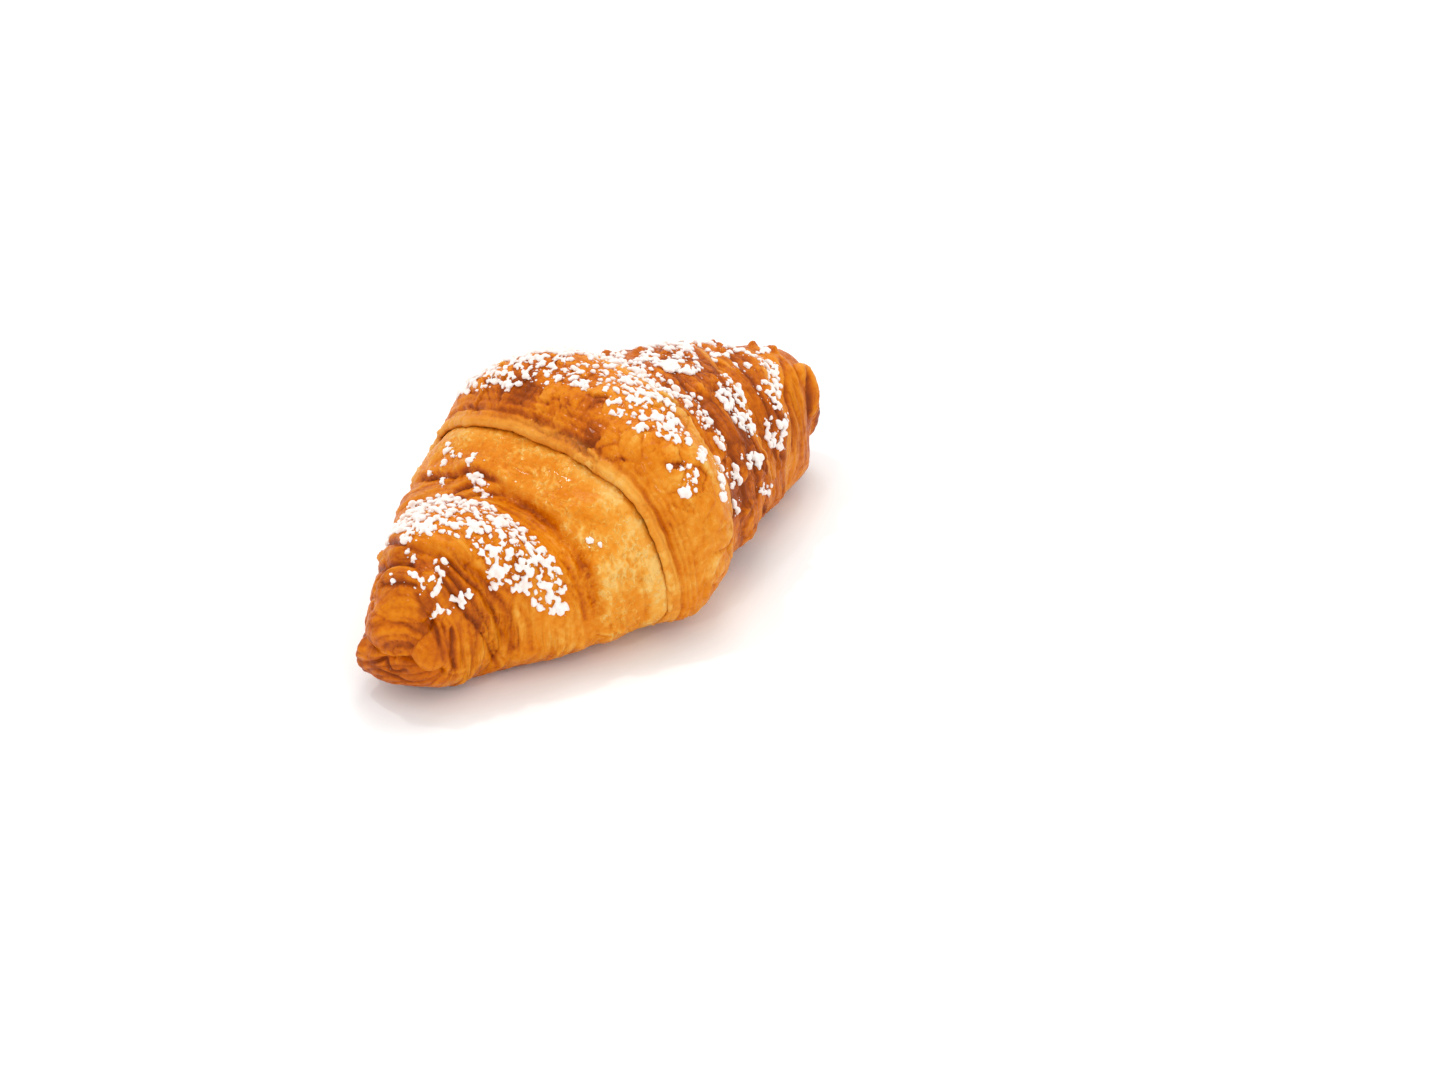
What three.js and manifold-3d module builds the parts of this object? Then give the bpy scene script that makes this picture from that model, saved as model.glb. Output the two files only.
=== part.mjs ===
// A cornetto: a baked crescent of rolled, laminated dough with clumps of icing sugar on its crown.
// It is one solid. The dough was rolled up from a triangle, so the outside is a row of overlapping
// wraps: the widest lies over the middle, and each rolled edge steps down towards a tip.
// Millimetres, +Z up. X runs along the pastry, from the tip that the viewer sees first to the other
// one, -Y is the hollow side of the crescent, and the origin is under the middle of the footprint.
import * as THREE from "three";
import { mergeVertices } from "three/addons/utils/BufferGeometryUtils.js";
import Module from "manifold-3d";

// ---- Driving dimensions ----
const ARC_LENGTH = 135; // along the curved centre line, tip to tip
const CRESCENT_TURN = -0.48; // radians that the centre line turns from one tip to the other
const CRESCENT_SKEW = -0.1; // how much more the far half is bent than the near half
const HALF_WIDTHS = [12.5, 14.5, 27, 34.5, 36.5, 30, 22.5, 18, 13.5]; // at equal stations
const HEIGHTS = [33, 35.5, 30.5, 37.5, 46.5, 44, 39.5, 37, 35.5]; // at the same stations
const WIDEST_AT = 0.42; // height of the widest line, as a share of the height
const TIP_BLUNTNESS = 9; // how late the tips round off
const TIP_ROUNDNESS = 2.3; // how round the tips are, 2 being an ellipse
const SIDE_SQUARENESS = 2.2; // section exponents, 2 being an ellipse
const CROWN_SQUARENESS = 2.1;
const BASE_SQUARENESS = 3.2;
const SINK = 0.9; // the underside is pressed flat on the baking tray by this much

// The rolled edges, from the near tip to the far tip. at is where the edge crosses the crown, lean is
// how much further on it is at the back than at the crown, and drop is the step down at the edge.
const ROLLED_EDGES = [
  { at: -62, lean: -2.7, drop: 1.3 },
  { at: -56.3, lean: -5.7, drop: 2.4 },
  { at: -27.6, lean: 4.9, drop: 1.7 },
  { at: -14.3, lean: 2.1, drop: 3.2 },
  { at: 13.3, lean: 2.9, drop: 1.8 },
  { at: 37.4, lean: 4.3, drop: 2.2 },
  { at: 48.1, lean: 2.2, drop: 1.8 },
];
const NEAR_EDGES = 4; // the first four step down towards the near tip, the others towards the far one
const WRAP_BULGES = [0.2, 0.8, 1.6, 0.8, 1.7, 1.2, 1.0, 0.3]; // how far each wrap swells between its edges
const EDGE_RIMS = [3, 5, 4, 7, 6, 4, 4]; // width of the rim inside each edge
const RIM_CREASE = 0.9; // depth of the crease behind a rim
const RIM_CREASE_WIDTH = 1.5;
const STEP_RUN = 0.5; // half of the length over which an edge steps down
const EDGE_WAVES = [ // of an edge that isn't quite straight, each turned on from one edge to the next
  { count: 3, height: 0.7, turn: 1.7 },
  { count: 7, height: 0.4, turn: 2.9 },
];
const UNDERSIDE_RELIEF = 0.25; // share of the relief left where the pastry was pressed on the tray
const PRESSED_HEIGHTS = [1, 9]; // above the tray, between which the relief grows whole again
const UNEVEN_WAVELENGTHS = [15, 19.5, 24, 28.5, 33]; // broad unevenness of the dough
const UNEVEN_HEIGHT = 0.26; // of each of its waves
const UNEVEN_HEADING = 0.7; // of the first wave, seen from above
const UNEVEN_CLIMB = { first: 1, step: 3.1 }; // angles whose cosine is each wave's slope upwards
const UNEVEN_START = 1.3; // how much later each wave starts than the one before
const GOLDEN_ANGLE = Math.PI * (3 - Math.sqrt(5)); // turns each wave well away from the others

// Swells of the dough round a point of the loaf. A negative rise is a dent.
const SWELLS = [
  { centre: [-64, -6, 27], rise: 2.8, reach: 7 }, // upper lobe of the near tip
  { centre: [-66, -4, 18.5], rise: 2.8, reach: 5 }, // lobe under it
  { centre: [-65.5, -5, 23], rise: -1.2, reach: 2.6 }, // fold between the two
  { centre: [-65.5, 0, 8], rise: 4, reach: 7.5 }, // rolled end, low at the back
  { centre: [-65, -14, 14], rise: 3, reach: 5.5 }, // bulb on the hollow side
  { centre: [-42, -8, 33], rise: 1.2, reach: 14 }, // crown of the second wrap
  { centre: [25, -24, 20], rise: 1, reach: 12 }, // side of the fifth wrap
  { centre: [64, -8, 30], rise: 1.8, reach: 8 }, // top of the far tip
  { centre: [64, 2, 14], rise: 1.6, reach: 8 }, // back of the far tip
];

// Icing sugar: leaning patches that hold clumps. middle is a place along and around the pastry, and half
// is half of the patch's size. around is in half turns: 0 on the hollow side, 0.5 on the crown and 1 at
// the back. shift is how much further along the patch lies at its back end than at its middle.
const SUGAR_PATCHES = [
  { middle: [-60.3, 0.39], half: [2.8, 0.07], shift: 0, clumps: 6 },
  { middle: [-58.3, 0.22], half: [1.8, 0.04], shift: 0, clumps: 3 },
  { middle: [-47, 0.56], half: [9.5, 0.13], shift: 4, clumps: 26 },
  { middle: [-36, 0.75], half: [5, 0.1], shift: 5, clumps: 8 },
  { middle: [-45.5, 0.24], half: [5.5, 0.18], shift: -6, clumps: 22 },
  { middle: [-20, 0.78], half: [5, 0.09], shift: -2, clumps: 7 },
  { middle: [1.5, 0.5], half: [8.5, 0.22], shift: 1.5, clumps: 30 },
  { middle: [16.3, 0.35], half: [2.2, 0.16], shift: 0, clumps: 8 },
  { middle: [27, 0.31], half: [8.5, 0.1], shift: 0, clumps: 13 },
  { middle: [25, 0.56], half: [9.5, 0.09], shift: 0, clumps: 13 },
  { middle: [42.5, 0.49], half: [4.5, 0.13], shift: 0, clumps: 8 },
  { middle: [48.6, 0.33], half: [3.6, 0.08], shift: 0, clumps: 5 },
];
const CLUMP_SIZES = [1.2, 2.5]; // smallest and largest radius of a clump
const CLUMP_SIZE_FALL = 0.6; // how fast the sizes fall within a patch, below 1 being fast at first
const CLUMP_TRIES = 60; // for each clump of a patch, until it lies clear of the others
const CLUMP_STRETCH = [1.15, 0.85]; // width and length of a clump, as shares of its size
const CLUMP_FLATNESS = 0.62; // height of a clump as a share of its size
const CLUMP_SINK = 0.15; // how deep a clump's middle lies under the crust, as a share of its radius
const CLUMP_SPACING = 0.92; // of two clumps' radii together, so that most clumps stand alone
const EDGE_CLEARANCE = 1.6; // from a clump's middle to a rolled edge
const RANDOM_SEED = 2711;

// ---- Resolution ----
const COLUMNS = 46; // points around the section
const WRAP_ROWS = [5, 5, 11, 7, 13, 9, 5, 6]; // rows of points on each wrap
const LINE_STEPS = 400; // short steps that add up to the centre line
const NORMAL_STEP = 0.02; // of the short steps over the loaf that give its outward direction
const CLUMP_DETAIL = 0; // an icosahedron
const WELD_DISTANCE = 1e-4; // of corners that are one

// A smooth curve through equally spaced values, at share 0 to 1 of the way along them.
function smoothThrough(values, share) {
  const place = THREE.MathUtils.clamp(share, 0, 1) * (values.length - 1);
  const i = Math.min(Math.floor(place), values.length - 2);
  const t = place - i;
  const at = (k) => values[THREE.MathUtils.clamp(k, 0, values.length - 1)];
  const [a, b, c, d] = [at(i - 1), at(i), at(i + 1), at(i + 2)];
  return b + 0.5 * t * (c - a + t * (2 * a - 5 * b + 4 * c - d + t * (3 * (b - c) + d - a)));
}

// The centre line's heading at a share of its length from its middle.
function heading(share) {
  return CRESCENT_TURN * share + CRESCENT_SKEW * share * share;
}

// The centre line's points, by adding up short steps, and its place at a distance from its middle.
const CENTRE_LINE = (() => {
  const points = [new THREE.Vector2(0, 0)];
  const step = ARC_LENGTH / LINE_STEPS;
  for (let i = 0; i < LINE_STEPS; i++) {
    const turn = heading((i + 0.5) / LINE_STEPS - 0.5);
    const stride = new THREE.Vector2(Math.cos(turn), Math.sin(turn)).multiplyScalar(step);
    points.push(points[i].clone().add(stride));
  }
  const middle = points[LINE_STEPS / 2].clone();
  return points.map((p) => p.sub(middle));
})();
function centreAt(along) {
  const place = THREE.MathUtils.clamp(along / ARC_LENGTH + 0.5, 0, 1) * LINE_STEPS;
  const i = Math.min(Math.floor(place), LINE_STEPS - 1);
  return CENTRE_LINE[i].clone().lerp(CENTRE_LINE[i + 1], place - i);
}

function signedPower(value, exponent) {
  return Math.sign(value) * Math.abs(value) ** exponent;
}

// A point of the smooth loaf under the relief.
function loafPoint(along, around) {
  const share = along / ARC_LENGTH + 0.5;
  const closing = Math.max(1 - Math.abs(2 * share - 1) ** TIP_BLUNTNESS, 0) ** (1 / TIP_ROUNDNESS);
  const height = smoothThrough(HEIGHTS, share);
  const middle = WIDEST_AT * height;
  const rise = Math.sin(around);
  const up = rise > 0
    ? (height - middle) * signedPower(rise, 2 / CROWN_SQUARENESS)
    : middle * signedPower(rise, 2 / BASE_SQUARENESS);
  const out = smoothThrough(HALF_WIDTHS, share) * signedPower(Math.cos(around), 2 / SIDE_SQUARENESS);
  const turn = heading(share - 0.5);
  const centre = centreAt(along);
  return new THREE.Vector3(
    centre.x + Math.sin(turn) * out * closing,
    centre.y - Math.cos(turn) * out * closing,
    middle + up * closing - SINK,
  );
}

// The loaf's outward direction there, from two short steps over its surface.
function loafNormal(along, around) {
  const limit = ARC_LENGTH / 2 - NORMAL_STEP;
  const a = THREE.MathUtils.clamp(along, -limit, limit);
  const down = loafPoint(a + NORMAL_STEP, around).sub(loafPoint(a - NORMAL_STEP, around));
  const round = loafPoint(a, around + NORMAL_STEP).sub(loafPoint(a, around - NORMAL_STEP));
  return down.cross(round).normalize();
}

// Where a rolled edge runs, at an angle around the pastry.
function edgeAt(index, around) {
  const edge = ROLLED_EDGES[index];
  let place = edge.at - edge.lean * Math.cos(around);
  for (const wave of EDGE_WAVES) place += wave.height * Math.sin(wave.count * around + wave.turn * index);
  return place;
}

// Broad unevenness of the dough, from crossing waves.
function unevenness(p) {
  let sum = 0;
  UNEVEN_WAVELENGTHS.forEach((wavelength, k) => {
    const turn = UNEVEN_HEADING + GOLDEN_ANGLE * k;
    const climb = Math.cos(UNEVEN_CLIMB.first + UNEVEN_CLIMB.step * k);
    const distance = p.x * Math.cos(turn) + p.y * Math.sin(turn) + p.z * climb;
    sum += UNEVEN_HEIGHT * Math.sin((2 * Math.PI * distance) / wavelength + UNEVEN_START * k);
  });
  return sum;
}

// Relief of one wrap at a share of the way across it, from its edge nearer the near tip to the other.
function wrapRelief(wrap, share, width) {
  const low = wrap === 0 ? 0 : (wrap <= NEAR_EDGES ? 0.5 : -0.5) * ROLLED_EDGES[wrap - 1].drop;
  const isLast = wrap === ROLLED_EDGES.length;
  const high = isLast ? 0 : (wrap < NEAR_EDGES ? -0.5 : 0.5) * ROLLED_EDGES[wrap].drop;
  let relief = low + (high - low) * share + WRAP_BULGES[wrap] * 4 * share * (1 - share);
  const crease = (distance, rim) => RIM_CREASE * Math.exp(-(((distance - rim) / RIM_CREASE_WIDTH) ** 2));
  if (wrap >= 1 && wrap <= NEAR_EDGES) relief -= crease(share * width, EDGE_RIMS[wrap - 1]);
  if (wrap >= NEAR_EDGES && !isLast) relief -= crease((1 - share) * width, EDGE_RIMS[wrap]);
  return relief;
}

// A point of the baked surface: the loaf, pushed out by its relief and flat where it lay on the tray.
function crustPoint(wrap, along, around, share, width) {
  const point = loafPoint(along, around);
  const normal = loafNormal(along, around);
  const pressed = THREE.MathUtils.smoothstep(point.z, ...PRESSED_HEIGHTS);
  let relief = wrapRelief(wrap, share, width) + unevenness(point);
  for (const swell of SWELLS) {
    const gap = point.distanceTo(new THREE.Vector3(...swell.centre)) / swell.reach;
    relief += swell.rise * Math.exp(-gap * gap);
  }
  point.addScaledVector(normal, relief * (UNDERSIDE_RELIEF + (1 - UNDERSIDE_RELIEF) * pressed));
  point.z = Math.max(point.z, 0);
  return point;
}

// The crust as one closed mesh: rows of points on each wrap, and a single point at each tip.
function crustGeometry() {
  const rows = [];
  const end = ARC_LENGTH / 2;
  WRAP_ROWS.forEach((count, wrap) => {
    for (let r = 0; r < count; r++) {
      const isNearTip = wrap === 0;
      const isFarTip = wrap === ROLLED_EDGES.length;
      let share = isNearTip || isFarTip ? (r + 0.5) / count : r / (count - 1);
      if (isNearTip) share = 1 - Math.cos((share * Math.PI) / 2);
      if (isFarTip) share = Math.sin((share * Math.PI) / 2);
      rows.push((around) => {
        const low = isNearTip ? -end : edgeAt(wrap - 1, around) + STEP_RUN;
        const high = isFarTip ? end : edgeAt(wrap, around) - STEP_RUN;
        return crustPoint(wrap, low + (high - low) * share, around, share, high - low);
      });
    }
  });
  const positions = [];
  for (const row of rows) {
    for (let c = 0; c < COLUMNS; c++) positions.push(...row((2 * Math.PI * c) / COLUMNS));
  }
  const nearPole = positions.length / 3;
  positions.push(...crustPoint(0, -end, 0, 0, 1));
  const farPole = nearPole + 1;
  positions.push(...crustPoint(ROLLED_EDGES.length, end, 0, 1, 1));
  const faces = [];
  for (let c = 0; c < COLUMNS; c++) {
    const next = (c + 1) % COLUMNS;
    const last = (rows.length - 1) * COLUMNS;
    faces.push(nearPole, c, next, farPole, last + next, last + c);
    for (let r = 0; r + 1 < rows.length; r++) {
      const [a, b] = [r * COLUMNS + c, r * COLUMNS + next];
      faces.push(a, a + COLUMNS, b, b, a + COLUMNS, b + COLUMNS);
    }
  }
  const geometry = new THREE.BufferGeometry();
  geometry.setAttribute("position", new THREE.Float32BufferAttribute(positions, 3));
  geometry.setIndex(faces);
  return geometry;
}

// A repeatable stream of numbers from 0 to 1.
function randomStream(seed) {
  let state = seed >>> 0;
  return () => {
    state = (Math.imul(state, 1664525) + 1013904223) >>> 0;
    return state / 4294967296;
  };
}

// Places for the clumps of sugar, the largest first in each patch, each clear of those before it.
function clumpPlaces() {
  const random = randomStream(RANDOM_SEED);
  const places = [];
  const [smallest, largest] = CLUMP_SIZES;
  for (const patch of SUGAR_PATCHES) {
    let made = 0;
    for (let tries = 0; tries < CLUMP_TRIES * patch.clumps && made < patch.clumps; tries++) {
      const [across, up] = [2 * random() - 1, 2 * random() - 1];
      const along = patch.middle[0] + patch.half[0] * across + patch.shift * up;
      const around = Math.PI * (patch.middle[1] + patch.half[1] * up);
      const radius = largest + (smallest - largest) * (made / patch.clumps) ** CLUMP_SIZE_FALL;
      const point = loafPoint(along, around);
      const spin = 2 * Math.PI * random();
      const onEdge = ROLLED_EDGES.some((_, i) => Math.abs(along - edgeAt(i, around)) < EDGE_CLEARANCE);
      const crowded = places.some((p) => p.point.distanceTo(point) < CLUMP_SPACING * (p.radius + radius));
      if (onEdge || crowded) continue;
      places.push({ along, around, radius, point, spin });
      made += 1;
    }
  }
  return places;
}

// One clump: a lumpy flattened ball, half sunk in the crust.
function clumpGeometry(place) {
  const geometry = new THREE.IcosahedronGeometry(place.radius, CLUMP_DETAIL);
  geometry.scale(...CLUMP_STRETCH, CLUMP_FLATNESS);
  geometry.rotateZ(place.spin);
  const wrap = wrapOf(place.along, place.around);
  const low = wrap === 0 ? -ARC_LENGTH / 2 : edgeAt(wrap - 1, place.around);
  const high = wrap === ROLLED_EDGES.length ? ARC_LENGTH / 2 : edgeAt(wrap, place.around);
  const share = (place.along - low) / (high - low);
  const seat = crustPoint(wrap, place.along, place.around, share, high - low);
  const normal = loafNormal(place.along, place.around);
  const turn = new THREE.Quaternion().setFromUnitVectors(new THREE.Vector3(0, 0, 1), normal);
  geometry.applyQuaternion(turn);
  seat.addScaledVector(normal, -CLUMP_SINK * place.radius);
  geometry.translate(seat.x, seat.y, seat.z);
  return geometry;
}

// The wrap that a place lies on.
function wrapOf(along, around) {
  let wrap = 0;
  while (wrap < ROLLED_EDGES.length && along > edgeAt(wrap, around)) wrap += 1;
  return wrap;
}

// ---- Joining the clumps to the crust ----
const wasm = await Module();
wasm.setup();

function solidOf(geometry) {
  const bare = geometry.clone();
  bare.deleteAttribute("normal");
  bare.deleteAttribute("uv");
  const merged = mergeVertices(bare, WELD_DISTANCE);
  const vertProperties = merged.getAttribute("position").array;
  return new wasm.Manifold(new wasm.Mesh({ numProp: 3, vertProperties, triVerts: merged.index.array }));
}

function geometryOf(solid) {
  const mesh = solid.getMesh();
  const geometry = new THREE.BufferGeometry();
  geometry.setAttribute("position", new THREE.BufferAttribute(mesh.vertProperties, 3));
  geometry.setIndex(new THREE.BufferAttribute(mesh.triVerts, 1));
  geometry.computeVertexNormals();
  return geometry;
}

let pastry = solidOf(crustGeometry());
for (const place of clumpPlaces()) pastry = pastry.add(solidOf(clumpGeometry(place)));

const crust = new THREE.MeshStandardMaterial({ color: 0xc9772b, roughness: 0.45, metalness: 0 });
const cornetto = new THREE.Mesh(geometryOf(pastry), crust);
cornetto.name = "cornetto";

// The centre line runs through its own middle, so the pastry moves to put the origin under its box.
const middle = new THREE.Box3().setFromObject(cornetto).getCenter(new THREE.Vector3());
cornetto.position.set(-middle.x, -middle.y, 0);

const part = new THREE.Group();
part.add(cornetto);

export default part;
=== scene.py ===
"""A cornetto: wraps of rolled, laminated dough under a glossy egg wash, with clumps of icing sugar.

The crust is built as overlapping wraps, each a closed ring of dough with a rounded rolled edge, over
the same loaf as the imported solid. Sizes are in millimetres until a mesh is made. A place along the
pastry is a distance from the middle of its centre line, the near tip being the negative end. A place
around it is an angle, 0 on the hollow side and a quarter turn on the crown; tables give it in half turns.
"""

import logging
import math
from dataclasses import dataclass, field
from enum import Enum

import bmesh
import bpy
import numpy as np
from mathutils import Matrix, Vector


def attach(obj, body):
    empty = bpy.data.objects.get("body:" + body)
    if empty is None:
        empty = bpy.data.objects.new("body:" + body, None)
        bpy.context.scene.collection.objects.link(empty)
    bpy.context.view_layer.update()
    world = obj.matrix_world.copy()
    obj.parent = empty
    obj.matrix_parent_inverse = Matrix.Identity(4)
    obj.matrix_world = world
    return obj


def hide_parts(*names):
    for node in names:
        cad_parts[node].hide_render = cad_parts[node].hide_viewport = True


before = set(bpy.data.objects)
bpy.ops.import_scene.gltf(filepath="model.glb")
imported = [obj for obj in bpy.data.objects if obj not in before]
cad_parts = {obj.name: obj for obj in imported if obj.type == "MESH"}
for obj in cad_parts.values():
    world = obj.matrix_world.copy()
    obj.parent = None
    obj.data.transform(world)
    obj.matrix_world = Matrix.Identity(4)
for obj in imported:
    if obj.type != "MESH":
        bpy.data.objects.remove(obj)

Array = np.ndarray
MM = 0.001  # metres in a millimetre
FRAME_SHIFT = np.array([1.437, -0.032, 0.0])  # where the middle of the centre line lies in the frame
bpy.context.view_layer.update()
CROWN = 0.5 * math.pi
UNDERSIDE = -0.5 * math.pi
# Of these masks, one is painted shade in creases, folds and gaps under rolled edges; bake also carries
# painted highlights on ridges and painted shade in hollows.
MASKS = ("bake", "rim", "groove", "strand", "curl", "plate")  # what a point of the crust tells its material


# -------------------- shared mathematics


@dataclass(frozen=True)
class Ripple:
    """One kind of noise: the size of its cells, a shift that sets it apart, and its height."""

    cells: float | tuple
    shift: float = 0.0
    height: float = 1.0


@dataclass(frozen=True)
class Wander:
    """How noise moves points about: how far, the size of its cells, and a shift for each axis."""

    reach: float
    cells: float
    shifts: tuple


class DoughNoise:
    """Smooth seeded noise over points in millimetres."""

    SIZE = 256  # of the table
    STRETCH = 1.7  # brings the values to about -1 to 1
    LAYER_SHIFT = 17.3
    PLATE_SCATTER, PLATE_RAISE, PLATE_TILT, CRACK_WIDTH = 0.45, 0.8, 0.9, 0.12  # in plates
    RAISE_KEY, TILT_KEY = 77, 31  # a plate's places in the table

    def __init__(self, seed: int) -> None:
        """Draws the noise's table.

        Args:
            seed: the number that fixes the table.
        """
        draw = np.random.default_rng(seed)
        self.order = np.tile(draw.permutation(self.SIZE), 2)
        slopes = draw.normal(size=(self.SIZE, 3))
        self.slopes = slopes / np.linalg.norm(slopes, axis=1, keepdims=True)

    def at(self, points: Array, wavelength: float | tuple = 1.0) -> Array:
        """Gives the noise at points.

        Args:
            points: places, with x, y and z last.
            wavelength: the size of the noise's cells, one number or one for each axis.

        Returns:
            Values from about -1 to 1.
        """
        place = points / np.asarray(wavelength)
        cell = np.floor(place).astype(np.int64)
        rest = place - cell
        cell &= self.SIZE - 1
        ease = rest**3 * (rest * (rest * 6 - 15) + 10)
        total = np.zeros(points.shape[:-1])
        for corner in np.ndindex(2, 2, 2):
            step = np.array(corner)
            key = self.order[cell[..., 0] + step[0]]
            key = self.order[key + cell[..., 1] + step[1]]
            key = self.order[key + cell[..., 2] + step[2]]
            slope = self.slopes[key]
            weight = np.prod(np.where(step == 1, ease, 1 - ease), axis=-1)
            total += weight * np.einsum("...k,...k->...", slope, rest - step)
        return self.STRETCH * total

    def read(self, points: Array, *ripples: Ripple) -> Array:
        """Adds up kinds of noise at points."""
        return sum(ripple.height * self.at(points + ripple.shift, ripple.cells) for ripple in ripples)

    def drift(self, points: Array, wander: Wander) -> Array:
        """Says how far a wander moves each point."""
        moves = [self.at(points + shift, wander.cells) for shift in wander.shifts]
        return wander.reach * np.stack(moves, -1)

    def layers(self, points: Array, ripple: Ripple, count: int = 3) -> Array:
        """Adds up ever finer noise.

        Args:
            points: places, with x, y and z last.
            ripple: the coarsest kind, whose height the sum has too.
            count: how many layers there are.

        Returns:
            The sum at each place.
        """
        total = np.zeros(points.shape[:-1])
        for layer in range(count):
            place = points + ripple.shift + self.LAYER_SHIFT * layer
            total += self.at(place, ripple.cells / 2**layer) / 2**layer
        return ripple.height * total / (2 - 0.5 ** (count - 1))

    def plates(self, points: Array, size: float) -> tuple:
        """Splits the skin into tilted plates with cracks between them.

        Args:
            points: places, with x, y and z last.
            size: how wide a plate is.

        Returns:
            How far each place is lifted, from about -1 to 1, and how near it is to a crack.
        """
        place = points / size
        cell = np.floor(place).astype(np.int64)
        best = np.full(points.shape[:-1], np.inf)
        second = best.copy()
        lift = np.zeros_like(best)
        for corner in np.ndindex(3, 3, 3):
            spot = cell + np.array(corner) - 1
            wrapped = spot & (self.SIZE - 1)
            key = self.order[wrapped[..., 0]]
            key = self.order[key + wrapped[..., 1]]
            key = self.order[key + wrapped[..., 2]]
            gap = place - (spot + 0.5 + self.PLATE_SCATTER * self.slopes[key])
            out = np.linalg.norm(gap, axis=-1)
            raised = self.PLATE_RAISE * self.slopes[(key + self.RAISE_KEY) % self.SIZE, 0]
            tilt = self.slopes[(key + self.TILT_KEY) % self.SIZE]
            raised = raised + self.PLATE_TILT * np.einsum("...k,...k->...", gap, tilt)
            nearer = out < best
            second = np.where(nearer, best, np.minimum(second, out))
            lift = np.where(nearer, raised, lift)
            best = np.minimum(best, out)
        return lift, smooth_step(self.CRACK_WIDTH, 0.0, second - best)


def smooth_step(low: float, high: float, value: Array) -> Array:
    """Rises smoothly from 0 at low to 1 at high, or falls where low is above high."""
    share = np.clip((value - low) / (high - low), 0, 1)
    return share * share * (3 - 2 * share)


def at_least(least: float, share: Array) -> Array:
    """Squeezes shares from 0 to 1 into the range from least to 1."""
    return least + (1 - least) * share


def bell(distance: Array, width: float) -> Array:
    """Falls smoothly from 1 at no distance, towards 0 past width."""
    return np.exp(-((distance / width) ** 2))


def smooth_through(values: tuple, share: Array) -> Array:
    """Runs a smooth curve through equally spaced values.

    Args:
        values: the values, at equal stations.
        share: where to read the curve, 0 to 1 of the way along.

    Returns:
        The curve's values there.
    """
    knots = np.asarray(values, float)
    last = len(knots) - 1
    place = np.clip(share, 0, 1) * last
    start = np.minimum(np.floor(place).astype(int), last - 1)
    rest = place - start
    before, here, after, beyond = (knots[np.clip(start + k, 0, last)] for k in (-1, 0, 1, 2))
    cubic = 3 * (here - after) + beyond - before
    square = 2 * before - 5 * here + 4 * after - beyond
    return here + 0.5 * rest * (after - before + rest * (square + rest * cubic))


# -------------------- the form of the pastry


@dataclass
class Loaf:
    """The smooth crescent under the relief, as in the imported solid."""

    arc_length: float = 135.0
    turn: float = -0.48
    skew: float = -0.1
    half_widths: tuple = (12.5, 14.5, 27, 34.5, 36.5, 30, 22.5, 18, 13.5)
    heights: tuple = (33, 35.5, 30.5, 37.5, 46.5, 44, 39.5, 37, 35.5)
    widest_at: float = 0.42
    tip_bluntness: float = 9.0
    tip_roundness: float = 2.3
    side_squareness: float = 2.2
    crown_squareness: float = 2.1
    base_squareness: float = 3.2
    sink: float = 0.9
    line_steps: int = 400
    ring_points: int = 96
    girth_count: int = 80
    normal_step: float = 0.02

    def __post_init__(self) -> None:
        """Adds up the centre line from short steps, and measures the girth along it."""
        shares = (np.arange(self.line_steps) + 0.5) / self.line_steps - 0.5
        step = self.arc_length / self.line_steps
        turns = self.heading(shares)
        line = [np.concatenate([[0], np.cumsum(run(turns) * step)]) for run in (np.cos, np.sin)]
        self.line = [axis - axis[self.line_steps // 2] for axis in line]
        self.stations = np.linspace(-self.end, self.end, self.line_steps + 1)
        ring = np.linspace(0, 2 * math.pi, self.ring_points + 1)
        self.girth_stations = np.linspace(-self.end + 1, self.end - 1, self.girth_count)
        rings = self.points(self.girth_stations[:, None], ring[None])
        self.girths = np.linalg.norm(np.diff(rings, axis=1), axis=-1).sum(1) / (2 * math.pi)

    @property
    def end(self) -> float:
        """Half of the arc length."""
        return self.arc_length / 2

    def girth(self, along: Array) -> Array:
        """The length of skin for each radian around, at distances along the centre line."""
        return np.interp(along, self.girth_stations, self.girths)

    def heading(self, share: Array) -> Array:
        """The centre line's direction at a share from -0.5 to 0.5 of its length."""
        return self.turn * share + self.skew * share**2

    def points(self, along: Array, around: Array) -> Array:
        """Places points on the loaf.

        Args:
            along: distances from the middle of the centre line.
            around: angles around it, 0 on the hollow side and a quarter turn on the crown.

        Returns:
            The points.
        """
        share = along / self.arc_length + 0.5
        bluntness = np.abs(2 * share - 1) ** self.tip_bluntness
        closing = np.maximum(1 - bluntness, 0) ** (1 / self.tip_roundness)
        height = smooth_through(self.heights, share)
        middle = self.widest_at * height
        rise = np.sin(around)
        over = (height - middle) * np.abs(rise) ** (2 / self.crown_squareness)
        under = -middle * np.abs(rise) ** (2 / self.base_squareness)
        side = np.cos(around)
        out = np.sign(side) * np.abs(side) ** (2 / self.side_squareness) * closing
        out = out * smooth_through(self.half_widths, share)
        turn = self.heading(share - 0.5)
        x = np.interp(along, self.stations, self.line[0]) + np.sin(turn) * out
        y = np.interp(along, self.stations, self.line[1]) - np.cos(turn) * out
        z = middle + np.where(rise > 0, over, under) * closing - self.sink
        return np.stack([x, y, z], -1)

    def normals(self, along: Array, around: Array) -> Array:
        """Gives the loaf's outward directions.

        Args:
            along: distances from the middle of the centre line.
            around: angles around it.

        Returns:
            Unit vectors.
        """
        step = self.normal_step
        limit = self.end - step
        near = np.clip(along, -limit, limit)
        down = self.points(near + step, around) - self.points(near - step, around)
        sideways = self.points(near, around + step) - self.points(near, around - step)
        normal = np.cross(down, sideways)
        return normal / np.maximum(np.linalg.norm(normal, axis=-1, keepdims=True), 1e-9)


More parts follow.
